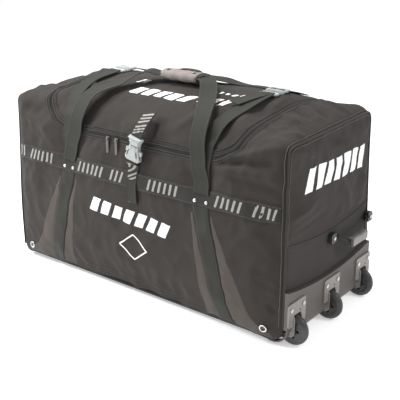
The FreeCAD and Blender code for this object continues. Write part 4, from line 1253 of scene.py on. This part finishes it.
def grip_sleeve():
    """Padded sleeve closed round the webbing: plump, pinched at both ends, with a lengthwise closing seam."""
    rings, sides = 30, 40
    turn = np.linspace(0, 2 * math.pi, sides, endpoint=False)
    half_y, half_z = GRIP_HIGH.y - GRIP_CENTRE.y - 0.001, GRIP_HIGH.z - GRIP_CENTRE.z
    verts, uvs = [], []
    for i in range(rings):
        t = 2 * i / (rings - 1) - 1
        plump = (1 - 0.20 * abs(t) ** 6) * (1 - 0.05 * math.cos(3 * math.pi * t))
        for k, a in enumerate(turn):
            c, s = math.cos(a), math.sin(a)
            y = half_y * math.copysign(abs(c) ** 0.75, c) * plump
            z = half_z * math.copysign(abs(s) ** 0.8, s) * plump
            seam = 0.0022 * math.exp(-((a - 1.95) / 0.12) ** 2)
            y, z = y * (1 - seam / half_y), z * (1 - seam / half_z)
            verts.append((t * GRIP_HALF, GRIP_CENTRE.y + y, GRIP_CENTRE.z + z))
            uvs.append((t * GRIP_HALF, a * half_y))
    for t in (-1, 1):
        for a in turn:
            verts.append((t * (GRIP_HALF - 0.004), GRIP_CENTRE.y + 0.68 * half_y * math.cos(a),
                          GRIP_CENTRE.z + 0.45 * half_z * math.sin(a)))
            uvs.append((t * GRIP_HALF, a * half_y))
    faces = []
    for i in range(rings - 1):
        for k in range(sides):
            n = (k + 1) % sides
            faces.append((i * sides + k, (i + 1) * sides + k, (i + 1) * sides + n, i * sides + n))
    low_cap, high_cap = rings * sides, (rings + 1) * sides
    for k in range(sides):
        n = (k + 1) % sides
        faces.append((k, n, low_cap + n, low_cap + k))
        faces.append(((rings - 1) * sides + n, (rings - 1) * sides + k, high_cap + k, high_cap + n))
    faces.append(tuple(low_cap + k for k in range(sides)))
    faces.append(tuple(high_cap + k for k in range(sides))[::-1])
    piece = make_piece("grip_sleeve", verts, faces, uvs, "grip_cloth")
    return piece


place(grip_sleeve(), "front_handle", "grip_wrap")


def rear_fold():
    """Doubled middle of the rear handle."""
    a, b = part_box("rear_handle_fold")
    y, z = (a.y + b.y) / 2, (a.z + b.z) / 2
    outer = [(a.x, y, z + 0.003), (a.x * 0.5, y, z + 0.005), (0, y, z + 0.0055), (b.x * 0.5, y, z + 0.005),
             (b.x, y, z + 0.003)]
    top = webbing("fold", outer, width=b.y - a.y, side=(0, 1, 0))
    under = webbing("fold", [(x, yy, 2 * z - zz) for x, yy, zz in outer], width=b.y - a.y, side=(0, 1, 0))
    return joined("rear_grip_fold", [top, under])


place(rear_fold(), "rear_handle", "rear_handle_fold")


def grip_loop():
    """Short plain webbing strap lying over the top of the sleeve."""
    c = GRIP_CENTRE
    z = GRIP_HIGH.z
    control = [(-0.022, c.y + 0.010, z - 0.0016), (-0.012, c.y + 0.012, z + 0.0004),
               (0.018, c.y + 0.013, z + 0.0018), (0.046, c.y + 0.012, z + 0.0004), (0.056, c.y + 0.010, z - 0.0016)]
    return webbing("grip_loop", control, width=0.018, side=(0, 1, 0))


place(grip_loop(), "front_handle")


# ---- centre strap and buckle ---------------------------------------------------------------------

BAR_STEP = 0.002
BARS_IN_GROUP = 3


def strap_bars(name, strap, control, width, starts, side):
    """Groups of slanted grey bars woven into a strap, laid on the face that side points from."""
    tree = mesh_tree(strap)
    line = curve_through(control, BAR_STEP)
    outside = np.array(side, float) * 0.02
    across = np.linspace(-0.40, 0.40, 8)
    made = []
    for start in starts:
        for k in range(BARS_IN_GROUP):
            first = int(start / BAR_STEP) + k * 6
            rows = line[first:first + 4]
            if len(rows) < 4:
                continue
            grid = np.array([[centre + outside + np.array([o * width, 0, o * width * 0.5]) for o in across]
                             for centre in rows])
            points, normals = laid(tree, grid)
            made.append(slab("bar", points, normals, -0.0003, 0.0005, "print_grey"))
    return joined(name, made)


FEMALE_LOW, FEMALE_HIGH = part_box("centre_buckle_female")
MALE_LOW, MALE_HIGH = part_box("centre_buckle_male")
BUCKLE_X = 0.020
BUCKLE_FOOT_Z = 0.428
BUCKLE_SPLIT_Z = 0.472
BUCKLE_HEAD_Z = 0.498
BUCKLE_TILT = math.radians(12)
BUCKLE_FACE_Y = FEMALE_LOW.y
BUCKLE_BACK_Y = FEMALE_HIGH.y


def tilted(points):
    """Lean points of the buckle about its foot, as the CAD buckle leans."""
    moved = points.copy()
    x, z = points[..., 0] - BUCKLE_X, points[..., 2] - BUCKLE_FOOT_Z
    moved[..., 0] = BUCKLE_X + x * math.cos(BUCKLE_TILT) + z * math.sin(BUCKLE_TILT)
    moved[..., 2] = BUCKLE_FOOT_Z + z * math.cos(BUCKLE_TILT) - x * math.sin(BUCKLE_TILT)
    return moved


def buckle_plate(zs, halves, y_face, y_back, crown, cols=15):
    """Crowned plate of the buckle with a waisted outline."""
    u = np.linspace(-1, 1, cols)
    grid = np.zeros((len(zs), cols, 3))
    for r, (z, half) in enumerate(zip(zs, halves)):
        grid[r, :, 0] = BUCKLE_X + u * half
        grid[r, :, 1] = (y_face + y_back) / 2
        grid[r, :, 2] = z
    normals = np.zeros_like(grid)
    normals[..., 1] = -1 if y_face < y_back else 1
    depth = abs(y_back - y_face) / 2
    end = np.sin(math.pi * np.linspace(0.08, 0.92, len(zs)))[:, None]
    over = depth + crown * np.sqrt(1 - (u[None] * 0.96) ** 2) * end
    return slab("plate", tilted(grid), unit(normals), -depth * np.ones_like(over), over, "buckle_plastic")


def female_half():
    """Female half: crowned front and back plates round a pocket, with a waist where the arms stand out."""
    zs = np.linspace(BUCKLE_FOOT_Z, BUCKLE_SPLIT_Z, 25)
    t = np.linspace(0, 1, 25)
    key_t = [0, 0.04, 0.12, 0.3, 0.45, 0.62, 0.82, 1.0]
    key_half = [0.0185, 0.0230, 0.0262, 0.0262, 0.0232, 0.0200, 0.0172, 0.0166]
    halves = np.interp(t, key_t, key_half)
    halves = np.convolve(np.pad(halves, 1, mode="edge"), [0.25, 0.5, 0.25], mode="valid")
    front = buckle_plate(zs, halves, BUCKLE_FACE_Y + 0.0002, BUCKLE_FACE_Y + 0.0026, 0.0022)
    back = buckle_plate(zs, halves, BUCKLE_BACK_Y - 0.0024, BUCKLE_BACK_Y, 0.0)
    foot = buckle_plate(zs[:7], halves[:7], BUCKLE_FACE_Y + 0.0012, BUCKLE_BACK_Y - 0.001, 0.0)
    slot_bar = []
    for z, half in ((BUCKLE_FOOT_Z + 0.0035, 0.0165), (BUCKLE_FOOT_Z + 0.0125, 0.018)):
        path = np.array([(BUCKLE_X + half * u, BUCKLE_FACE_Y - 0.0006, z) for u in np.linspace(-1, 1, 12)])
        slot_bar.append(tube("bar", tilted(path), 0.0016, "buckle_plastic", 8))
    rib = []
    for dx in (-0.010, 0.010):
        path = np.array([(BUCKLE_X + dx * (1 - 0.3 * u), BUCKLE_FACE_Y - 0.0012, BUCKLE_FOOT_Z + 0.018 + 0.024 * u)
                         for u in np.linspace(0, 1, 10)])
        rib.append(tube("rib", tilted(path), 0.0011, "buckle_plastic", 6))
    # black tubes on the buckle's face are painted shade, standing for the dark inside of its slots
    slot_shade = []
    for dx in (-0.0195, 0.0175):
        path = np.array([(BUCKLE_X + dx * (1 - 0.28 * u), BUCKLE_FACE_Y - 0.0010, BUCKLE_FOOT_Z + 0.012 + 0.020 * u)
                         for u in np.linspace(0, 1, 10)])
        taper = 0.0020 * np.sin(math.pi * np.linspace(0.12, 0.88, 10))
        slot_shade.append(tube("slot_shade", tilted(path), taper, "black_plastic", 8))
    place(joined("buckle_slot_shade", slot_shade), "bag_body")
    return joined("buckle_body", [front, back, foot] + slot_bar + rib)


def male_half():
    """Male half: flared head with a strap bar, and the tongue inside the pocket."""
    zs = np.linspace(BUCKLE_SPLIT_Z + 0.0008, BUCKLE_HEAD_Z, 13)
    halves = np.interp(np.linspace(0, 1, 13), [0, 0.30, 0.60, 0.88, 1.0],
                       [0.0162, 0.0165, 0.0200, 0.0248, 0.0235])
    head = buckle_plate(zs, halves, BUCKLE_FACE_Y, BUCKLE_BACK_Y, 0.0016)
    bars = []
    for z, half in ((BUCKLE_HEAD_Z - 0.0035, 0.0215), (BUCKLE_HEAD_Z - 0.0125, 0.0160)):
        path = np.array([(BUCKLE_X + half * u, BUCKLE_FACE_Y - 0.0014, z) for u in np.linspace(-1, 1, 12)])
        bars.append(tube("bar", tilted(path), 0.0018, "buckle_plastic", 8))
    tongue_z = np.linspace(BUCKLE_FOOT_Z + 0.018, BUCKLE_SPLIT_Z + 0.003, 5)
    tongue = buckle_plate(tongue_z, [0.0035] * 5, BUCKLE_FACE_Y + 0.0045, BUCKLE_BACK_Y - 0.0045, 0.0, 5)
    return joined("buckle_head", [head, tongue] + bars)


place(female_half(), "bag_body", "centre_buckle_female")
place(male_half(), "lid", "centre_buckle_male")

CENTRE_WEB = 0.038


def centre_straps():
    """Strap up to the buckle, and the strap on the lid that holds its other half."""
    y = FRONT_Y - 0.004
    lower = [(0.012, y, 0.300), (0.012, y, 0.340), (0.012, y, 0.375), (0.0135, y - 0.003, 0.398),
             (0.016, -0.2385, 0.414), (BUCKLE_X - 0.001, BUCKLE_BACK_Y - 0.006, BUCKLE_FOOT_Z + 0.002)]
    piece = webbing("centre_strap_low", lower, width=CENTRE_WEB, rest=(BODY_TREE,), lift=0.004, up=(0, -1, 0))
    place(piece, "bag_body", "centre_strap_lower")
    place(strap_bars("centre_marks_low", piece, lower, CENTRE_WEB, (0.006, 0.056, 0.096), (0, -1, 0)), "bag_body")
    lean = math.tan(BUCKLE_TILT) * (BUCKLE_HEAD_Z - BUCKLE_FOOT_Z)
    top_x = BUCKLE_X + lean
    upper = [(top_x, BUCKLE_BACK_Y - 0.006, BUCKLE_HEAD_Z - 0.002), (top_x + 0.004, -0.242, BUCKLE_HEAD_Z + 0.018),
             (top_x + 0.007, -0.222, 0.538), (top_x + 0.009, -0.206, 0.552), (top_x + 0.010, -0.195, 0.561)]
    piece = webbing("centre_strap_high", upper, width=CENTRE_WEB, rest=(LID_TREE,), lift=0.0016, up=(0, -1, 0.5))
    place(piece, "lid", "centre_strap_upper")
    place(strap_bars("centre_marks_high", piece, upper, CENTRE_WEB, (0.010, 0.050), (0, -1, 0.6)), "lid")


centre_straps()


# ---- buckled straps on the lid -------------------------------------------------------------------

def rounded_loop(x0, x1, y0, y1, z, radius, count=48):
    """Level rectangle with rounded corners, as a closed line."""
    corners = [(x0, (y0 + y1) / 2), (x0, y0), (x1, y0), (x1, y1), (x0, y1), (x0, (y0 + y1) / 2)]
    flat = rounded(corners, [0, radius, radius, radius, radius, 0], count + 1)[:-1]
    return np.stack([flat[:, 0], flat[:, 1], np.full(count, z)], axis=1)


def pad_female(side):
    """Open buckle frame with a crossbar and a crowned bridge."""
    a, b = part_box("pad_buckle_females")
    x = side * (PAD_X - 0.016)
    half = 0.031
    z = (a.z + b.z) / 2 + 0.001
    y0, y1 = a.y, b.y
    frame_loop = tube("loop", rounded_loop(x - half + 0.004, x + half - 0.004, y0 + 0.008, y1 - 0.004, z, 0.014),
                      0.0042, "buckle_plastic", 10, closed=True)
    bar = tube("bar", np.array([(x + u * (half - 0.006), y1 - 0.020, z) for u in np.linspace(-1, 1, 10)]), 0.0034,
               "buckle_plastic", 10)
    zs = np.linspace(y0 + 0.004, y0 + 0.016, 9)
    u = np.linspace(-1, 1, 15)
    grid = np.array([[(x + k * (half - 0.001 - 0.004 * (1 - j)), y, z) for k in u]
                     for j, y in zip(np.linspace(0, 1, 9), zs)])
    normals = np.zeros_like(grid)
    normals[..., 2] = 1
    crown = 0.0050 + 0.0014 * np.sqrt(1 - (u[None] * 0.95) ** 2) * np.ones((9, 1))
    body = slab("body", grid, normals, -0.0045 * np.ones_like(crown), crown, "buckle_plastic")
    return [frame_loop, bar, body]


def pad_male(side, name, body, node):
    """Male half: a rounded strap frame with a bar across its end."""
    a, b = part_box(node)
    x = side * (PAD_X - 0.016)
    half = 0.029
    z = (a.z + b.z) / 2
    loop = tube("loop", rounded_loop(x - half + 0.003, x + half - 0.003, a.y + 0.003, b.y - 0.004, z, 0.006),
                0.0036, "buckle_plastic", 10, closed=True)
    base = tube("base", np.array([(x + u * (half - 0.004), b.y - 0.0045, z) for u in np.linspace(-1, 1, 10)]),
                0.0042, "buckle_plastic", 10)
    return place(joined(name, [loop, base]), body, node)


def pad_straps():
    """The two straps buckled over the lid, with one loose tail."""
    females = []
    for side, name in ((-1, "left"), (1, "right")):
        females += pad_female(side)
        pad_male(side, "pad_prongs_" + name, "pad_strap_" + name, "pad_buckle_male_" + name)
        a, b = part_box("pad_buckle_male_" + name)
        z = (a.z + b.z) / 2
        x = side * (PAD_X - 0.016)
        control = [(side * (HANDLE_X + 0.001), FRONT_Y - 0.0030, FOOT_Z),
                   (side * (HANDLE_X + 0.001), FRONT_Y - 0.0040, 0.420),
                   (side * (HANDLE_X + 0.002), FRONT_Y - 0.0036, 0.465),
                   (side * (HANDLE_X + 0.006), -0.211, 0.515), (side * (HANDLE_X + 0.020), -0.180, 0.562),
                   (side * (PAD_X - 0.014), -0.100, 0.592), (side * (PAD_X - 0.015), -0.030, z - 0.002),
                   (x, a.y + 0.006, z + 0.001)]
        piece = webbing("pad_webbing_" + name, control, width=0.046, rest=(BODY_TREE, LID_TREE), lift=0.0014)
        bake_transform(piece)
        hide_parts("pad_strap_front_" + name)
    place(joined("pad_buckles", females), "lid", "pad_buckle_females")
    rears = []
    a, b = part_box("pad_buckle_females")
    z = (a.z + b.z) / 2
    for side in (-1, 1):
        x = side * (PAD_X - 0.016)
        control = [(x, b.y - 0.020, z + 0.0035), (x, b.y - 0.006, z - 0.001), (x, 0.110, z - 0.008),
                   (x, 0.150, 0.587), (x, 0.195, 0.573)]
        rears.append(webbing("rear", control, width=0.046, rest=(LID_TREE,), lift=0.0014))
    tail = [(PAD_X - 0.016, b.y - 0.016, z + 0.0045), (PAD_X - 0.016, b.y - 0.026, z + 0.0050),
            (PAD_X - 0.018, a.y + 0.018, z - 0.001), (PAD_X - 0.022, a.y - 0.004, z + 0.001),
            (PAD_X - 0.032, -0.050, z - 0.001), (PAD_X - 0.046, -0.105, 0.598)]
    rears.append(webbing("tail", tail, width=0.043, rest=(LID_TREE,), lift=0.0052))
    place(joined("pad_rear_webbing", rears), "lid", "pad_straps_rear")


pad_straps()


# ---- grab handle on the wheel end ----------------------------------------------------------------

def end_handle():
    """Webbing loop through the pale grip, hanging from both stubs."""
    a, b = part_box("end_handle_strap")
    grip_low, grip_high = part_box("end_handle_grip")
    z_low = (grip_low.z + grip_high.z) / 2
    x_out = grip_low.x + 0.0085
    pivot_x, pivot_z = 0.518, 0.246
    y0, y1 = a.y + 0.005, b.y - 0.005
    y_mid = (y0 + y1) / 2
    path = [(pivot_x, y0, pivot_z + 0.004), (pivot_x + 0.003, y0 + 0.002, pivot_z - 0.010),
            (pivot_x + 0.012, y0 + 0.020, z_low + 0.014), (x_out, y0 + 0.042, z_low), (x_out, y_mid, z_low),
            (x_out, y1 - 0.042, z_low), (pivot_x + 0.012, y1 - 0.020, z_low + 0.014),
            (pivot_x + 0.003, y1 - 0.002, pivot_z - 0.010), (pivot_x, y1, pivot_z + 0.004)]
    strap = webbing("end_loop", path, width=0.018, side=(-0.4, 0, 1), up=(1, 0, 0))
    eyes = []
    turn = np.linspace(0, 2 * math.pi, 20, endpoint=False)
    for y in (y0, y1):
        for shift in (-0.003, 0.003):
            ring = np.array([(pivot_x + 0.0052 * math.cos(t), y + shift, pivot_z + 0.0052 * math.sin(t))
                             for t in turn])
            eyes.append(tube("eye", ring, 0.0016, "webbing", 8, closed=True))
    return place(joined("end_handle_webbing", [strap] + eyes), "end_handle", "end_handle_strap")


end_handle()

# ---- threads, hinge strip and the CAD nodes that stay --------------------------------------------

place(stitching("body_stitches", BODY_STITCHES), "bag_body")
place(stitching("lid_stitches", LID_STITCHES), "lid")


def hinge_strip():
    """Cloth strip over the line that the lid turns on."""
    xs = np.linspace(-LID_HALF + 0.004, LID_HALF - 0.004, 76)
    s = np.array([1.955, 1.97, 1.985, 2.0, 2.015, 2.03, 2.045])
    grid = skin_point(*np.meshgrid(xs, s))
    outward = np.zeros_like(grid)
    outward[..., 1] = 1
    normals = grid_normals(grid, outward)
    piece = slab("hinge_strip", grid, normals, 0.0006, 0.0022, "shell_cloth")
    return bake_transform(piece)


hinge_strip()

SLOT_OF = {part["node"]: part["material_slot"] for part in frame["record"]["subparts"]}
for node, obj in frame["nodes"].items():
    obj.data.materials.clear()
    obj.data.materials.append(MATERIALS[SLOT_OF[node]])
LOOK_OF = {"zip_pull_left": "pull_plastic", "zip_pull_right": "pull_plastic", "zip_slider_left": "dark_nickel",
           "zip_slider_right": "dark_nickel", "end_handle_grip": "grip_plastic"}
for node, look in LOOK_OF.items():
    frame["nodes"][node].data.materials[0] = MATERIALS[look]

# ---- floor, light and camera ---------------------------------------------------------------------


def studio():
    """Plain pale floor under soft white light."""
    mesh = bpy.data.meshes.new("floor")
    span = 40.0
    corners = [(-span, -span, 0), (span, -span, 0), (span, span, 0), (-span, span, 0)]
    mesh.from_pydata(corners, [], [(0, 1, 2, 3)])
    floor = bpy.data.objects.new("floor", mesh)
    bpy.context.scene.collection.objects.link(floor)
    n = Nodes("floor")
    n.shader.inputs["Base Color"].default_value = (0.95, 0.95, 0.95, 1)
    n.shader.inputs["Roughness"].default_value = 0.9
    n.shader.inputs["Specular IOR Level"].default_value = 0.1
    n.shader.inputs["Emission Color"].default_value = (1, 1, 1, 1)
    n.shader.inputs["Emission Strength"].default_value = 0.42
    mesh.materials.append(n.material)
    world = bpy.data.worlds.new("studio")
    world.use_nodes = True
    world.node_tree.nodes["Background"].inputs["Color"].default_value = (1, 1, 1, 1)
    world.node_tree.nodes["Background"].inputs["Strength"].default_value = 0.60
    bpy.context.scene.world = world
    for name, spot, aim, size, power in (
            ("key", (-1.60, -1.15, 1.55), (-0.45, -0.2, 0.35), 0.5, 38),
            ("side", (2.5, 0.5, 2.1), (0.5, 0, 0.4), 0.7, 30),
            ("top", (-0.6, -0.5, 2.5), (-0.2, 0, 0.5), 0.8, 62)):
        data = bpy.data.lights.new(name, "AREA")
        data.shape = "DISK"
        data.size = size
        data.energy = power
        light = bpy.data.objects.new(name, data)
        light.location = spot
        light.rotation_euler = (Vector(aim) - Vector(spot)).to_track_quat("-Z", "Y").to_euler()
        bpy.context.scene.collection.objects.link(light)
    bpy.context.scene.view_settings.view_transform = "Standard"


def camera():
    """The photo's camera."""
    azimuth, elevation = math.radians(38.1), math.radians(19.8)
    distance, focus = 2.380, Vector((0.0597, 0.0, 0.2504))
    data = bpy.data.cameras.new("camera")
    data.sensor_width = 36.0
    data.lens = 70.4
    data.clip_end = 200.0
    obj = bpy.data.objects.new("camera", data)
    back = Vector((math.sin(azimuth) * math.cos(elevation), -math.cos(azimuth) * math.cos(elevation),
                   math.sin(elevation)))
    obj.location = focus + back * distance
    obj.rotation_euler = (-back).to_track_quat("-Z", "Y").to_euler()
    bpy.context.scene.collection.objects.link(obj)
    bpy.context.scene.camera = obj


studio()
camera()
